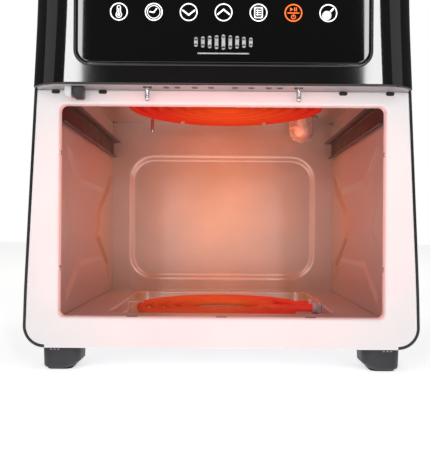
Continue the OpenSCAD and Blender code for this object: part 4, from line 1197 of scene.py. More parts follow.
def build_floor_pan():
    """Floor sheet, pressed down into the heater's well."""
    half, y0, y1, bottom, r = WELL
    steps, fill = 8, 6

    def plan(grow, z, rad):
        loop = rounded_loop(-half - grow, half + grow, y0 - grow, y1 + grow, rad, steps, fill)
        return [(x, y, z) for x, y in loop]

    rim = CAVITY_HALF - 0.7
    edge = [(x, y, FLOOR_Z) for x, y in rounded_loop(-rim, rim, LINER_Y, BACK_Y - 0.7, 0.5, steps, fill)]
    sheet = Shape().loft([edge, plan(2.6, FLOOR_Z, 16.6), plan(1.0, FLOOR_Z - 0.25, 15.0),
                          plan(0.25, FLOOR_Z - 1.0, 14.2), plan(0, FLOOR_Z - 2.4, r),
                          plan(0, bottom + 3.0, r), plan(-0.6, bottom + 1.2, r - 0.6),
                          plan(-1.8, bottom + 0.25, r - 1.8), plan(-3.4, bottom, r - 3.4)], caps=False)
    base = len(sheet.points) - len(edge)
    sheet.faces.append(tuple(base + j for j in range(len(edge))))
    piece(sheet, "liner_floor_pan", "liner_steel", stands_for=("liner_floor", "heater_well"), wall=SHEET,
          angle=40)


def build_rails():
    """Rack rails: channels that open towards the middle of the oven."""
    out, top_z, low_z = CAVITY_HALF - 0.05, 225.0, 206.0
    bend_x = out - 2.4
    bend = arc(bend_x, top_z - 2.4, 2.4, 0, 90, 5)
    outer = [(out, low_z + 1.6)] + bend
    outer += [(out - 10.0, top_z), (out - 10.4, top_z - 0.4), (out - 10.4, top_z - 0.9),
              (out - 10.0, top_z - 1.2)]
    inner = arc(bend_x, top_z - 2.4, 1.2, 90, 0, 5) + arc(bend_x, low_z + 2.4, 1.2, 0, -90, 4)
    foot = [(out - 4.4, low_z + 1.2), (out - 4.7, low_z + 0.6), (out - 4.4, low_z)]
    foot += arc(bend_x, low_z + 2.4, 2.4, -90, -20, 4)
    for side, hand in SIDES:
        loop = [(side * x, z) for x, z in outer + inner + foot]
        rail = Shape().prism(loop, LINER_Y + 7.0, BACK_Y - 3.0)
        # The near-black finish is painted shade of the recessed channel.
        piece(rail, f"rail_{hand}_channel", "rail_dark", stands_for=(f"rail_{hand}",), bevel=0.2, angle=35)


def build_liner(size):
    """All the sheets of the oven and its two rails."""
    build_walls(size)
    build_ceiling()
    build_floor_pan()
    build_rails()


# ---------------------------------------------------------------- heaters, fans and lamp
def coil_path():
    """The top heater's one tube: down at the right, round twelve half turns and out to the left."""
    end_x = COIL_PITCH / 4 + COIL_IN + 11 * COIL_PITCH / 2
    path = [(end_x, AXIS_Y, 265.0), (end_x, AXIS_Y, 252.0), (end_x, AXIS_Y, 248.0),
            (end_x, AXIS_Y - 1.2, 245.6)]
    for i in range(11, -1, -1):
        odd = i % 2
        r = COIL_IN + i * COIL_PITCH / 2
        cx = (odd - 0.5) * COIL_PITCH / 2
        turn = arc(cx, AXIS_Y, r, 180 - 180 * odd, 360 - 180 * odd, 24 if i > 5 else 16)
        path += [(x, y, COIL_Z) for x, y in turn[1:]]
    inner = COIL_IN - COIL_PITCH / 4
    path += [(inner - 0.6, AXIS_Y + 0.4, 248.5), (inner - 1.6, AXIS_Y, 252.5), (inner - 5.0, AXIS_Y, 254.4)]
    path += [(x, AXIS_Y, 254.75) for x in (8.0, -40.0, -76.0)]
    path += [(-81.5, AXIS_Y, 255.6), (-84.0, AXIS_Y, 258.5), (-84.25, AXIS_Y, 264.0), (-84.25, AXIS_Y, 292.0)]
    return path


def low_arc(r, a0, a1):
    """A run of the lower heater round the well, a point every six degrees or so."""
    count = max(2, round(abs(a1 - a0) / 6))
    return [(x, y, LOW_Z) for x, y in arc(0, AXIS_Y, r, a0, a1, count)]


def hairpin(r, angle):
    """Half turn from an outer run to the next one in, about the radius r at an angle."""
    c = (r * math.cos(math.radians(angle)), AXIS_Y + r * math.sin(math.radians(angle)))
    points = arc(*c, LOW_GAP, angle, angle + 180 if angle < 0 else angle - 180, 10)
    return [(x, y, LOW_Z) for x, y in points][1:-1]


def low_path():
    """The lower heater's one tube: in at the right, four runs round the well and out again."""
    start = math.degrees(math.atan2(7, 24))
    turn = math.degrees(math.atan2(3, 4))
    lead = (LOW_R * 0.96, AXIS_Y + LOW_R * 0.28)
    path = [(97.2, lead[1], LOW_Z), (lead[0] + 4.0, lead[1], LOW_Z), (lead[0] + 1.2, lead[1] + 0.6, LOW_Z)]
    path += low_arc(LOW_R, start + 2.5, 360 - turn)
    path += hairpin(LOW_R - LOW_GAP, -turn)
    path += low_arc(LOW_R - 2 * LOW_GAP, 360 - turn, turn)
    path += hairpin(LOW_R - 3 * LOW_GAP, turn)
    path += low_arc(LOW_R - 4 * LOW_GAP, turn, 360 - turn)
    path += hairpin(LOW_R - 5 * LOW_GAP, -turn)
    path += low_arc(LOW_R - 6 * LOW_GAP, 360 - turn, 0)
    centre = LOW_R - 5 * LOW_GAP
    path += [(x, y, LOW_Z) for x, y in arc(centre, AXIS_Y, LOW_GAP, 180, 270, 6)][1:]
    path += [(60.0, AXIS_Y - LOW_GAP, LOW_Z), (97.2, AXIS_Y - LOW_GAP, LOW_Z)]
    return path


def build_heaters(size):
    """Both heaters, with the straps, clips and end plate that hold them."""
    tube("coil_heater", [coil_path()], size.heater_tube / MM, "heater_top", stands_for=("top_heater",))
    tube("floor_heater", [low_path()], size.heater_tube / MM, "heater_low", stands_for=("lower_heater",))
    strap = Shape()
    for a in STRAP_ANGLES:
        c, s = math.cos(math.radians(a)), math.sin(math.radians(a))
        section = [(20.0, -3.0), (104.0, -3.0), (104.0, 3.0), (20.0, 3.0)]
        plan = [(u * c - v * s, AXIS_Y + u * s + v * c) for u, v in section]
        strap.prism(plan, CEIL_Z - 0.8, CEIL_Z - 0.1, "Z")
    clip = Shape().loft([[(x, d, z) for x, z in arc(0, 0, 4.3, 180, 360, 10) + arc(0, 0, 3.8, 360, 180, 10)]
                         for d in (-2.2, 2.2)])
    places = []
    for a in STRAP_ANGLES:
        for i in (10, 11):
            odd = i % 2
            if (a < 180) != (odd == 1):
                continue
            cx = (odd - 0.5) * COIL_PITCH / 2
            r = COIL_IN + i * COIL_PITCH / 2
            ca, sa = math.cos(math.radians(a)), math.sin(math.radians(a))
            u = cx * ca + math.sqrt(r * r - (cx * sa) ** 2)
            places.append((u * ca, AXIS_Y + u * sa, COIL_Z, 0, 0, a))
    repeat("coil_clips", clip, places, "bracket_steel", stands_for=("top_heater_brackets",), extra=strap)
    strap = Shape()
    strap.prism([(-98.5, 30.05), (-86.9, 30.05), (-86.9, 30.9), (-94.6, 30.9), (-94.6, 42.5), (-79.8, 42.5),
                 (-79.8, 43.2), (-95.5, 43.2), (-95.5, 31.2), (-98.5, 31.2)], AXIS_Y - 2, AXIS_Y + 2)
    piece(strap, "floor_heater_strap", "bracket_steel", stands_for=("lower_heater_bracket",), bevel=0.25)
    plate = Shape()
    y0, y1 = AXIS_Y - 17, AXIS_Y + 33
    outline = [(y0, 30.1), (y1, 30.1), (y1, 44.5), (y1 - 4, 46.2), (y0 + 10, 46.2), (y0, 43.0)]
    plate.prism(outline, 98.0, 100.1, "X")
    plate.prism(rounded_loop(y0 + 4, y1 - 4, 32.0, 44.2, 4.0, 6), 96.3, 98.2, "X")
    for y in (AXIS_Y - LOW_GAP, AXIS_Y + LOW_R * 0.28):
        plate.ring([(3.9, 0), (5.6, 0), (5.6, 3.6), (5.0, 4.4), (3.9, 4.4)], (92.2, y, LOW_Z), "X", 24)
    piece(plate, "heater_end_plate", "plate_grey", stands_for=("lower_terminal_block",), bevel=0.3)


def fan_piece(node, outer, root, z, blades, lean):
    """Fan wheel: a backplate, a hub and swept blades repeated round it."""
    h = FAN_HEIGHT
    wheel = Shape()
    wheel.lathe([(3.05, h - 1.0), (outer - 2.0, h - 1.0), (outer - 0.4, h - 0.8), (outer - 0.1, h - 0.4),
                 (outer - 0.6, h), (3.05, h)], (0, AXIS_Y, z), steps=72)
    wheel.ring([(3.02, 0), (6.2, 0), (6.9, 0.7), (6.9, h - 0.9), (3.02, h - 0.9)], (0, AXIS_Y, z), steps=32)
    blade = Shape()
    mid = (outer + root) / 2
    line = [(root + (outer - 1.5 - root) * t, lean * math.sin(math.pi * t) - lean * 0.4 * t)
            for t in (0, 0.2, 0.4, 0.6, 0.8, 1.0)]
    line = [(u, v * mid / 50.0) for u, v in line]
    loop = [(u, v - 0.45) for u, v in line] + [(u, v + 0.45) for u, v in line[::-1]]
    blade.prism(loop, 0.0, h - 0.9, "Z")
    places = [(0, AXIS_Y, z, 0, 0, 360 * i / blades) for i in range(blades)]
    repeat(node + "_wheel", blade, places, "fan_alu", body="fan_rotor", stands_for=(node,), extra=wheel,
           angle=30)


def build_fans(size):
    """Both fan wheels and the dome over the hot one."""
    fan_piece("hot_fan", 75.25, 16.0, HOT_FAN_Z, size.hot_blades, 7.0)
    fan_piece("cooling_fan", 55.0, 14.0, COOLING_FAN_Z, size.cooling_blades, 5.0)
    dome = Shape().ring([(102.0, 0.82), (102.2, 1.2), (102.0, 1.6), (94.6, 1.6), (93.4, 2.2), (93.05, 3.4),
                         (93.05, 31.0), (92.4, 33.6), (90.0, 35.0), (8.2, 35.0), (8.2, 34.2), (89.6, 34.2),
                         (91.6, 33.2), (HOLE_R, 30.8), (HOLE_R, 0.82)], (0, AXIS_Y, CEIL_Z), steps=96)
    piece(dome, "fan_dome_shell", "liner_steel", stands_for=("fan_dome",), angle=40)


def build_lamp_and_probe():
    """Fluted lamp cover with its rim, and the temperature probe."""
    x, y, z0 = LAMP
    outer = [(0, 0), (4.5, 0.7), (8.2, 2.6), (11.2, 5.6), (13.4, 9.6), (14.5, 14.5), (14.5, 29.9)]
    inner = [(12.9, 29.9), (12.9, 14.8), (12.0, 10.6), (10.0, 7.0), (7.3, 4.2), (4.0, 2.3), (0, 1.7)]
    glass = Shape().lathe(outer + inner, (x, y, z0), steps=40)
    for k in range(12):
        a = 2 * math.pi * k / 12
        flute = [(x + 14.6 * math.cos(a + d), y + 14.6 * math.sin(a + d)) for d in (-0.05, 0.05)]
        flute += [(x + 13.6 * math.cos(a + d), y + 13.6 * math.sin(a + d)) for d in (0.05, -0.05)]
        glass.prism(flute, z0 + 17, z0 + 28.5, "Z")
    piece(glass, "lamp_cover", "lamp_glass", stands_for=("lamp_glass",), angle=40)
    rim = Shape().ring([(14.6, -1.4), (17.6, -1.4), (18.6, -0.6), (18.6, -0.05), (14.6, -0.05)],
                       (x, y, CEIL_Z), steps=40)
    piece(rim, "lamp_rim", "bracket_steel", angle=35)
    probe = Shape().lathe([(0, -21), (1.2, -20.6), (1.85, -19.4), (2.0, -18), (2.0, 0.9), (4.0, 0.9),
                           (4.0, 3.0), (2.0, 3.0), (2.0, 14), (0, 14)],
                          PROBE, steps=24)
    probe.ring([(2.0, -2.6), (3.6, -2.6), (4.2, -1.8), (4.2, -0.1), (2.0, -0.1)], PROBE, steps=24)
    piece(probe, "probe_stem", "pin_steel", stands_for=("temperature_probe",), angle=40)


# ---------------------------------------------------------------- door catches and switch
def coil_spring(name, x, low, high, outer, wire, turns):
    """A wound spring between two heights."""
    start, end = low + wire, high - wire
    steps = turns * 16
    path = []
    for i in range(steps + 1):
        a = 2 * math.pi * i / 16
        path.append((x + (outer - wire) * math.cos(a), CATCH_Y + (outer - wire) * math.sin(a),
                     start + (end - start) * i / steps))
    made = tube(name + "_wound", [path], wire, "shaft_steel", stands_for=(name,), sides=10)
    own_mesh(made)


def build_catches():
    """Catch pins, door switch with its plunger, and their springs."""
    for side, hand in SIDES:
        pin = Shape().lathe([(0, 220.0), (0.9, 220.15), (1.6, 220.65), (2.0, 221.4), (2.15, 222.3),
                             (2.15, 226.4), (1.85, 226.7), (1.85, 227.6), (2.15, 227.9), (2.15, 238.2),
                             (4.9, 238.2), (4.9, 240.2), (1.5, 240.2), (1.5, 258.2), (1.1, 258.6),
                             (0, 258.6)], (side * CATCH_X, CATCH_Y, 0), steps=32)
        piece(pin, f"catch_pin_{hand}_turned", "pin_steel", body=f"catch_{hand}",
              stands_for=(f"catch_pin_{hand}",),
              angle=40)
    block = Shape()
    lobe1 = LOCK_X - 5.3
    block.prism([(lobe1 - 5.3, HEAD_Z - 0.1), (lobe1 - 5.3, HEAD_Z - 7.1), (lobe1 - 4.6, HEAD_Z - 7.7),
                 (lobe1, HEAD_Z - 9.6), (lobe1, HEAD_Z - 0.1)],
                CATCH_Y - 5, CATCH_Y + 5)
    guide = 236.5
    cap = guide + 5.2 + 1.5 + 8.5 + 0.4
    for x0, x1, z0, z1 in ((-7, -2.55, guide, guide + 5), (2.55, 7, guide, guide + 5), (5, 7, 232.5, guide),
                           (-7, -5, 232.5, cap + 5), (-7, -1.25, cap, cap + 1.5), (1.25, 7, cap, cap + 1.5)):
        block.box((LOCK_X + x0, LOCK_X + x1), (CATCH_Y - 6, CATCH_Y + 6), (z0, z1))
    piece(block, "door_switch_frame", "switch_grey", stands_for=("interlock_housing",), bevel=0.45)
    plunger = Shape()
    block_end = rounded_loop(LOCK_X - 4, LOCK_X + 4, HEAD_Z - 9.6, HEAD_Z + 1.5, 2.0, 5)
    plunger.prism(block_end, CATCH_Y - 5, CATCH_Y + 5)
    plunger.lathe([(0, 230.5), (2.5, 230.5), (2.5, 241.7), (4.0, 241.7), (4.0, 243.2), (1.2, 243.2),
                   (1.2, cap + 2.3), (0.9, cap + 2.5), (0, cap + 2.5)],
                  (LOCK_X, CATCH_Y, 0), steps=24)
    piece(plunger, "door_plunger_block", "switch_dark", body="door_plunger",
          stands_for=("interlock_actuator",), bevel=0.3, angle=30)
    for side, hand in SIDES:
        coil_spring(f"catch_spring_{hand}", side * CATCH_X, 240.4, 254.4, 4.2, 0.45, 5)
    coil_spring("interlock_spring", LOCK_X, 243.4, 251.9, 3.2, 0.4, 4)


# ---------------------------------------------------------------- feet and back
def foot_ring(side, y0, z, trim):
    """A foot's plan at a height; its inner side is cut back low down."""
    inner, outer = 117.3, 148.8
    low = max(0.0, 6.9 - z) / 5.5
    a = inner + 0.5 * (19 - z) / 12.1 + 6.1 * low ** 1.15 + trim
    b = outer - 0.5 * (19 - z) / 16 - trim
    loop = rounded_loop(a, b, y0 + trim, y0 + FOOT_LENGTH - trim, max(1.0, 9 - trim), 7)
    return [(side * x, y, z) for x, y in loop]


def build_feet():
    """Four feet, and the small marks on the front ones."""
    levels = [(1.4, 2.2), (1.75, 1.2), (2.4, 0.45), (3.3, 0.1), (4.6, 0), (6.9, 0), (9, 0), (17.8, 0),
              (18.4, 0.25), (18.95, 0.25)]
    for side, hand in SIDES:
        for end, y0 in FOOT_ROWS:
            foot = Shape().loft([foot_ring(side, y0, z, t) for z, t in levels])
            piece(foot, f"foot_{end}_{hand}_moulded", "foot_grey", stands_for=(f"foot_{end}_{hand}",),
                  angle=32)
    marks = Shape().prism(rounded_loop(-0.9, 0.9, -0.35, 0.35, 0.3, 3), -0.25, 0.05)
    front_y = FOOT_ROWS[0][1]
    places = [(s * x, front_y + dy, 17.2, 0, 0, 0) for s in (-1, 1) for x,
              dy in ((140.5, 0.25), (137.6, 0.05), (134.4, 0.0))]
    repeat("foot_marks", marks, places, "plate_grey")


def build_back():
    """Vent rims in two rows, screw heads and the lead's gland."""
    rim = Shape()
    outer = rounded_loop(-3.6, 3.6, -16.2, 16.2, 3.5, 5)
    inner = rounded_loop(-2.5, 2.5, -15.0, 15.0, 2.4, 5)
    rim.loft([[(x, y, z) for x, z in loop] for loop,
              y in ((outer, -0.1), (outer, 0.6), (inner, 1.0), (inner, -0.1))], wrap=True)
    columns = [i * VENT_PITCH for i in range(-10, 11)]
    places = [(x, REAR_Y, 315.0, 0, 0, 0) for x in columns]
    places += [(x, REAR_Y, 52.0, 0, 0, 0) for x in columns if x < 93.2]
    repeat("vent_rims", rim, places, "rear_black")
    head = Shape().lathe([(0, 1.5), (1.8, 1.35), (2.8, 0.8), (3.2, 0), (3.2, -0.2), (0, -0.2)], (0, 0, 0),
                         "Y", 24)
    head.box((-1.7, 1.7), (1.3, 1.62), (-0.35, 0.35)).box((-0.35, 0.35), (1.3, 1.62), (-1.7, 1.7))
    screws = [(s * (side_half(z) - (24 if z > SEAM_Z else 14)), REAR_Y, z, 0, 0, 0)
              for s in (-1, 1) for z in (29.0, 188.5, 346.0)]
    repeat("cover_screw_heads", head, screws, "screw_zinc", stands_for=("cover_screws",))
    gland = Shape().ring([(3.75, -3.4), (8.0, -3.4), (8.0, -1.7), (5.95, -1.6), (5.95, -0.02), (8.0, 0.05),
                          (8.0, 1.2), (6.8, 1.6), (6.8, 2.2), (7.4, 2.6), (6.6, 3.2), (6.6, 3.8), (7.0, 4.2),
                          (6.2, 5.0), (3.75, 5.0)], (113.2, REAR_Y, 55.0), "Y", 40)
    piece(gland, "lead_gland", "pad_rubber", stands_for=("cord_gland",), angle=35)


# Nodes that keep the frame's own shape, and the finish of each
CARRIED = {
    "rear_cover": "rear_black", "base_plate": "base_zinc", "control_board": "board_green",
    "motor_plate": "bracket_steel",
    "motor_stator": "motor_iron", "lower_bush": "bronze", "upper_bush": "bronze", "lamp_bulb": "bulb_glass",
    "lamp_socket": "ceramic_white", "thermal_cutout": "switch_dark", "interlock_switch": "switch_dark",
    "catch_guides": "switch_dark", "foot_pads": "pad_rubber", "power_board": "board_green",
    "motor_shaft": "shaft_steel",
    "motor_rotor": "motor_iron",
}


def dress_carried():
    """Gives each shown node of the frame its finish."""
    for node, slot in CARRIED.items():
        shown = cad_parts[node]
        for holder in shown.material_slots:
            holder.material = finish(slot)


# ---------------------------------------------------------------- stage
def soft_light(name, place, target, size, power, color=(1, 1, 1), height=None, glossy=True):
    """A rectangular lamp that looks at a target."""
    data = bpy.data.lights.new(name, "AREA")
    data.shape = "RECTANGLE"
    data.size, data.size_y = size, height or size
    data.energy = power
    data.color = color
    lamp = added(name, data)
    lamp.location = place
    aim = Vector(target) - Vector(place)
    lamp.rotation_euler = aim.to_track_quat("-Z", "Y").to_euler()
    lamp.visible_glossy = glossy
    lamp.visible_camera = False


def build_floor(look):
    """Round paper floor, just under the feet."""
    around = 64
    radius = 6000
    turn = [2 * math.pi * i / around for i in range(around)]
    floor = Shape()
    floor.loft([[(radius * k * math.cos(a), radius * k * math.sin(a), z) for a in turn]
                for k, z in ((1.0, -4.0), (1.0, -0.02), (0.4, -0.02))])
    ground = floor.object("studio_floor")
    tidy_mesh(ground.data, 30)
    paper = Surface("studio_paper").coloured((0.90, 0.895, 0.89), (0.93, 0.925, 0.92), (0.7, 0.8), 3)
    paper.grained(600, 0.05)
    paper.shader.inputs["Emission Color"].default_value = (1, 1, 1, 1)
    paper.shader.inputs["Emission Strength"].default_value = look.floor_lift
    ground.data.materials.append(paper.material)
    ground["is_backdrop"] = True


def build_surroundings(look):
    """White room: plain where it is seen, dimmer where it lights or is mirrored."""
    world = bpy.data.worlds.new("Studio")
    bpy.context.scene.world = world
    world.use_nodes = True
    tree = world.node_tree
    tree.nodes.clear()
    path = node_in(tree, "ShaderNodeLightPath", (-400, 200))
    seen = node_in(tree, "ShaderNodeBackground", (-200, 100), None, Color=(1, 1, 1, 1), Strength=1.0)
    fill = node_in(tree, "ShaderNodeBackground", (-200, -50), None, Color=(1.0, 0.995, 0.99, 1),
                   Strength=look.ambient)
    mirrored = node_in(tree, "ShaderNodeBackground", (-200, -200), None, Color=(1.0, 0.99, 0.98, 1),
                       Strength=look.reflected)
    gloss = node_in(tree, "ShaderNodeMixShader", (50, -100))
    blend = node_in(tree, "ShaderNodeMixShader", (220, 0))
    out = node_in(tree, "ShaderNodeOutputWorld", (420, 0))
    link = tree.links.new
    link(path.outputs["Is Glossy Ray"], gloss.inputs[0])
    link(fill.outputs[0], gloss.inputs[1])
    link(mirrored.outputs[0], gloss.inputs[2])
    link(path.outputs["Is Camera Ray"], blend.inputs[0])
    link(gloss.outputs[0], blend.inputs[1])
    link(seen.outputs[0], blend.inputs[2])
    link(blend.outputs[0], out.inputs[0])


def build_softboxes(look):
    """White light round the oven."""
    key = look.key_power
    for side, hand in SIDES:
        soft_light(f"softbox_{hand}", (side * 1.5, -1.15, 0.75), (0, -0.1, 0.16), 1.0, key, height=1.2)
    soft_light("softbox_top", (0.0, -0.1, 1.9), (0, 0, 0), 1.8, key * 0.8)
    soft_light("softbox_rear", (0.0, 1.9, 1.1), (0, 0, 0.2), 1.6, key * 0.4)
    for side, hand in SIDES:
        soft_light(f"strip_{hand}", (side * 0.498, -1.66, 0.92), (side * 0.12, -0.16, 0.30), 0.088,
                   look.strip_power, height=1.1)
    soft_light("softbox_front", (0.0, -1.7, 0.22), (0, 0, 0.14), 0.9, key * 0.2, glossy=False)


def build_glow(look):
    """Red and orange light that the heaters give inside the oven and round its mouth."""
    red = tuple(look.glow_color)
    ember = (1.0, 0.36, 0.05)
    axis = AXIS_Y * MM
    soft_light("coil_light", (0.0, axis, 0.236), (0, axis, 0.0), 0.17, look.coil_light, red, glossy=False)
    soft_light("ring_light", (0.0, axis, 0.0445), (0, axis, 0.3), 0.14, look.coil_light * 0.6, red,
               glossy=False)
    for name, place, target, width in (("lintel_glow", (0.0, -0.172, 0.212), (0, -0.141, 0.226), 0.17),
                                       ("sill_glow", (0.0, -0.176, 0.052), (0, -0.141, 0.034), 0.19)):
        soft_light(name, place, target, width, look.mouth_glow, red, height=0.012, glossy=False)
    for side, hand in SIDES:
        soft_light(f"jamb_glow_{hand}", (side * 0.126, -0.168, 0.13), (side * 0.139, -0.141, 0.13), 0.012,
                   look.mouth_glow * 0.6, red, height=0.13, glossy=False)
    soft_light("ember_light", (0.0, 0.0, 0.14), (0, 0.116, 0.14), 0.10, look.cavity_glow * 0.42, ember,
               glossy=False)
    for name, depth, power, color in (("cavity_glow", 0.0, look.cavity_glow, red),
                                      ("ember_glow", 0.05, look.cavity_glow * 0.3, ember)):
        glow = bpy.data.lights.new(name, "POINT")
        glow.energy = power
        glow.color = color
        glow.shadow_soft_size = 0.05
        lamp = added(name, glow)
        lamp.location = (0, depth, 0.15)
        lamp.visible_glossy = False
        lamp.visible_camera = False


def build_camera(look):
    """Level camera in front of the oven, turned a little on its own axis."""
    view = bpy.data.cameras.new("view_camera")
    view.lens = look.lens
    view.sensor_width = 36.0
    view.shift_x = look.shift_x
    view.shift_y = look.shift_y
    view.clip_start = 0.01
    camera = added("view_camera", view)
    camera.location = (0.0, look.camera_y, look.camera_z)
    camera.rotation_euler = (math.radians(90), math.radians(look.roll), 0)
    bpy.context.scene.camera = camera


def build_stage(look):
    """Floor, surroundings, lights and camera."""
    build_floor(look)
    build_surroundings(look)
    bpy.context.scene.view_settings.view_transform = "Standard"
    build_softboxes(look)
    build_glow(look)
    build_camera(look)


# ---------------------------------------------------------------- add-on
class FryerSizes(bpy.types.PropertyGroup):
    """Sizes that a user would change"""

    heater_tube: bpy.props.FloatProperty(name="Heater Tube", description="Radius of the heaters' tube",
                                         unit="LENGTH", default=0.00375, min=0.002, max=0.00375)
    wall_press: bpy.props.FloatProperty(name="Wall Press",
                                        description="Depth of the pressed field in each side wall",
                                        unit="LENGTH", default=0.0025, min=0.0, max=0.0025)
    back_press: bpy.props.FloatProperty(name="Back Press",
                                        description="Depth of the pressed field in the back wall",
                                        unit="LENGTH", default=0.0026, min=0.0, max=0.0026)
    press_edge: bpy.props.FloatProperty(name="Press Edge",
                                        description="Width of the step round a pressed field", unit="LENGTH",
                                        default=0.0032, min=0.002, max=0.01)
    hot_blades: bpy.props.IntProperty(name="Hot Blades", description="Blades on the hot fan", default=12,
                                      min=3, max=24)
    cooling_blades: bpy.props.IntProperty(name="Cooling Blades", description="Blades on the cooling fan",
                                          default=10, min=3, max=24)
    key_ring: bpy.props.FloatProperty(name="Key Ring", description="Radius of the ring round each key",
                                      unit="LENGTH", default=0.007, min=0.005, max=0.007)
    key_line: bpy.props.FloatProperty(name="Key Line", description="Width of the ring round each key",
                                      unit="LENGTH", default=0.00085, min=0.0003, max=0.0012)


class FryerLooks(bpy.types.PropertyGroup):
    """Colours, lights and view that a user would change"""

    mark_glow: bpy.props.FloatProperty(name="Mark Glow", description="Light given off by the printed keys",
                                       default=0.9, min=0.0)
    start_color: bpy.props.FloatVectorProperty(name="Start Key", description="Colour of the start key",
                                               subtype="COLOR", size=3, default=(1.0, 0.16, 0.015))
    coil_color: bpy.props.FloatVectorProperty(name="Coil Middle",
                                              description="Glow at the middle of the coil", subtype="COLOR",
                                              size=3, default=(0.95, 0.065, 0.002))
    coil_edge_color: bpy.props.FloatVectorProperty(name="Coil Edge",
                                                   description="Glow at the edge of the coil",
                                                   subtype="COLOR", size=3, default=(0.78, 0.008, 0.002))
    floor_color: bpy.props.FloatVectorProperty(name="Floor Heater",
                                               description="Glow at the middle of the floor heater",
                                               subtype="COLOR", size=3, default=(0.72, 0.075, 0.006))
    glow_color: bpy.props.FloatVectorProperty(name="Cavity Glow",
                                              description="Colour of the heaters' light on the liner",
                                              subtype="COLOR", size=3, default=(1.0, 0.075, 0.045))
    heat: bpy.props.FloatProperty(name="Heat", description="Brightness of the heaters", default=0.82, min=0.0)
    coil_light: bpy.props.FloatProperty(name="Coil Light", description="Power of the heaters' light",
                                        unit="POWER", default=0.10, min=0.0)
    cavity_glow: bpy.props.FloatProperty(name="Cavity Glow Power",
                                         description="Power of the red light inside the oven", unit="POWER",
                                         default=0.52, min=0.0)
    mouth_glow: bpy.props.FloatProperty(name="Mouth Glow",
                                        description="Power of the red light on the front frame",
                                        unit="POWER", default=0.016, min=0.0)
    key_power: bpy.props.FloatProperty(name="Softbox Power", description="Power of each main softbox",
                                       unit="POWER", default=1.9, min=0.0)
    strip_power: bpy.props.FloatProperty(name="Strip Power", description="Power of each narrow strip light",
                                         unit="POWER", default=4.6, min=0.0)
    ambient: bpy.props.FloatProperty(name="Ambient", description="Strength of the studio's own light",
                                     default=0.36, min=0.0)
    floor_lift: bpy.props.FloatProperty(name="Floor Lift", description="Light given off by the paper floor",
                                        default=0.62, min=0.0)
    reflected: bpy.props.FloatProperty(name="Reflected Room",
                                       description="Strength of the studio where gloss mirrors it",
                                       default=0.07, min=0.0)
    lens: bpy.props.FloatProperty(name="Lens", description="Focal length in millimetres", default=46.88,
                                  min=1.0)
    shift_x: bpy.props.FloatProperty(name="Shift X", description="Sideways shift of the view",
                                     default=-0.0148)
    shift_y: bpy.props.FloatProperty(name="Shift Y", description="Upward shift of the view", default=-0.0095)
    camera_y: bpy.props.FloatProperty(name="Camera Depth",
                                      description="Place of the camera in front of the oven", unit="LENGTH",
                                      default=-0.646)
    camera_z: bpy.props.FloatProperty(name="Camera Height", description="Height of the camera",
                                      unit="LENGTH", default=0.115)
    roll: bpy.props.FloatProperty(name="Roll", description="Tilt of the camera in degrees", default=-0.42)


class FRYER_OT_covers(bpy.types.Operator):
    """Side panels and top panel of the housing"""
    bl_idname = "fryer.covers"
    bl_label = "Housing Covers"

    def execute(self, context):
        build_covers()
        return {"FINISHED"}


class FRYER_OT_frame(bpy.types.Operator):
    """Front frame with its folded mouth, rivets, and painted shade in its drain and recess slots"""
    bl_idname = "fryer.frame"
    bl_label = "Front Frame"

    def execute(self, context):
        build_frame()
        return {"FINISHED"}


class FRYER_OT_hood(bpy.types.Operator):
    """Gloss hood and the plate that closes it from below"""
    bl_idname = "fryer.hood"
    bl_label = "Hood"

    def execute(self, context):
        build_hood()
        build_hood_floor()
        return {"FINISHED"}


class FRYER_OT_controls(bpy.types.Operator):
    """Touch glass, bezel, key marks, emblem and display"""
    bl_idname = "fryer.controls"
    bl_label = "Controls"

    def execute(self, context):
        build_panel()
        build_marks(context.scene.fryer_sizes)
        return {"FINISHED"}


class FRYER_OT_liner(bpy.types.Operator):
    """Pressed sheets of the oven liner and its two rails"""
    bl_idname = "fryer.liner"
    bl_label = "Oven Liner"

    def execute(self, context):
        build_liner(context.scene.fryer_sizes)
        return {"FINISHED"}


class FRYER_OT_heaters(bpy.types.Operator):
    """Coil heater, floor heater, straps, clips and end plate"""
    bl_idname = "fryer.heaters"
    bl_label = "Heaters"

    def execute(self, context):
        build_heaters(context.scene.fryer_sizes)
        return {"FINISHED"}


class FRYER_OT_fans(bpy.types.Operator):
    """Hot fan, cooling fan and the dome between them"""
    bl_idname = "fryer.fans"
    bl_label = "Fans"

    def execute(self, context):
        build_fans(context.scene.fryer_sizes)
        return {"FINISHED"}


class FRYER_OT_lamp(bpy.types.Operator):
    """Lamp cover, its rim and the temperature probe"""
    bl_idname = "fryer.lamp"
    bl_label = "Lamp and Probe"

    def execute(self, context):
        build_lamp_and_probe()
        return {"FINISHED"}


class FRYER_OT_catches(bpy.types.Operator):
    """Door catch pins and the door switch"""
    bl_idname = "fryer.catches"
    bl_label = "Catches and Switch"

    def execute(self, context):
        build_catches()
        return {"FINISHED"}


class FRYER_OT_feet(bpy.types.Operator):
    """Four moulded feet with their marks"""
    bl_idname = "fryer.feet"
    bl_label = "Feet"

    def execute(self, context):
        build_feet()
        return {"FINISHED"}


class FRYER_OT_back(bpy.types.Operator):
    """Vent rims, screw heads and gland on the rear cover"""
    bl_idname = "fryer.back"
    bl_label = "Back"

    def execute(self, context):
        build_back()
        return {"FINISHED"}


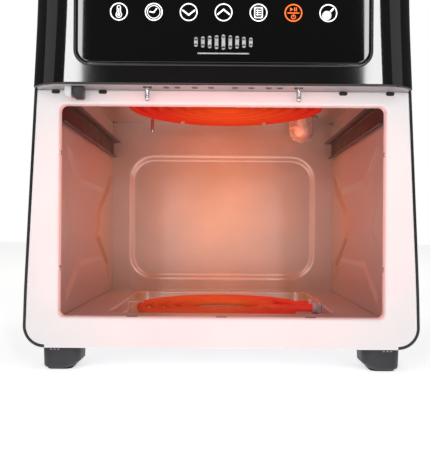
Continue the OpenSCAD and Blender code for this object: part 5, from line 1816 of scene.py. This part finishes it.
class FRYER_OT_carried(bpy.types.Operator):
    """Finishes of the parts that keep the frame's own shape"""
    bl_idname = "fryer.carried"
    bl_label = "Carried Parts"

    def execute(self, context):
        dress_carried()
        return {"FINISHED"}


class FRYER_OT_stage(bpy.types.Operator):
    """Floor, lights, surroundings and camera"""
    bl_idname = "fryer.stage"
    bl_label = "Stage"

    def execute(self, context):
        build_stage(context.scene.fryer_looks)
        return {"FINISHED"}


OPERATORS = (FRYER_OT_covers, FRYER_OT_frame, FRYER_OT_hood, FRYER_OT_controls, FRYER_OT_liner,
             FRYER_OT_heaters, FRYER_OT_fans, FRYER_OT_lamp, FRYER_OT_catches, FRYER_OT_feet, FRYER_OT_back,
             FRYER_OT_carried, FRYER_OT_stage)


class FRYER_PT_panel(bpy.types.Panel):
    """Lists the oven's pieces and looks"""

    bl_idname = "FRYER_PT_panel"
    bl_label = "Air Fryer Oven"
    bl_space_type = "VIEW_3D"
    bl_region_type = "UI"
    bl_category = "Air Fryer"

    def draw(self, context):
        for group in (context.scene.fryer_sizes, context.scene.fryer_looks):
            for name in group.__annotations__:
                self.layout.prop(group, name)
        for kind in OPERATORS:
            self.layout.operator(kind.bl_idname)


def register():
    for kind in (FryerSizes, FryerLooks, *OPERATORS, FRYER_PT_panel):
        bpy.utils.register_class(kind)
    bpy.types.Scene.fryer_sizes = bpy.props.PointerProperty(type=FryerSizes)
    bpy.types.Scene.fryer_looks = bpy.props.PointerProperty(type=FryerLooks)


def unregister():
    del bpy.types.Scene.fryer_looks
    del bpy.types.Scene.fryer_sizes
    for kind in (FRYER_PT_panel, *OPERATORS[::-1], FryerLooks, FryerSizes):
        bpy.utils.unregister_class(kind)


def plain(value):
    """Vectors and boxes as plain lists of numbers."""
    try:
        return [plain(v) for v in value]
    except TypeError:
        return float(value)


def main():
    """Registers the add-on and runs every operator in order."""
    register()
    for kind in OPERATORS:
        name = kind.bl_idname.split(".")[1]
        if getattr(bpy.ops.fryer, name)() != {"FINISHED"}:
            raise RuntimeError(f"{name} did not finish")
    {"cad": plain(cad_box), "visual": plain(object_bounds())}


if __name__ == "__main__":
    main()
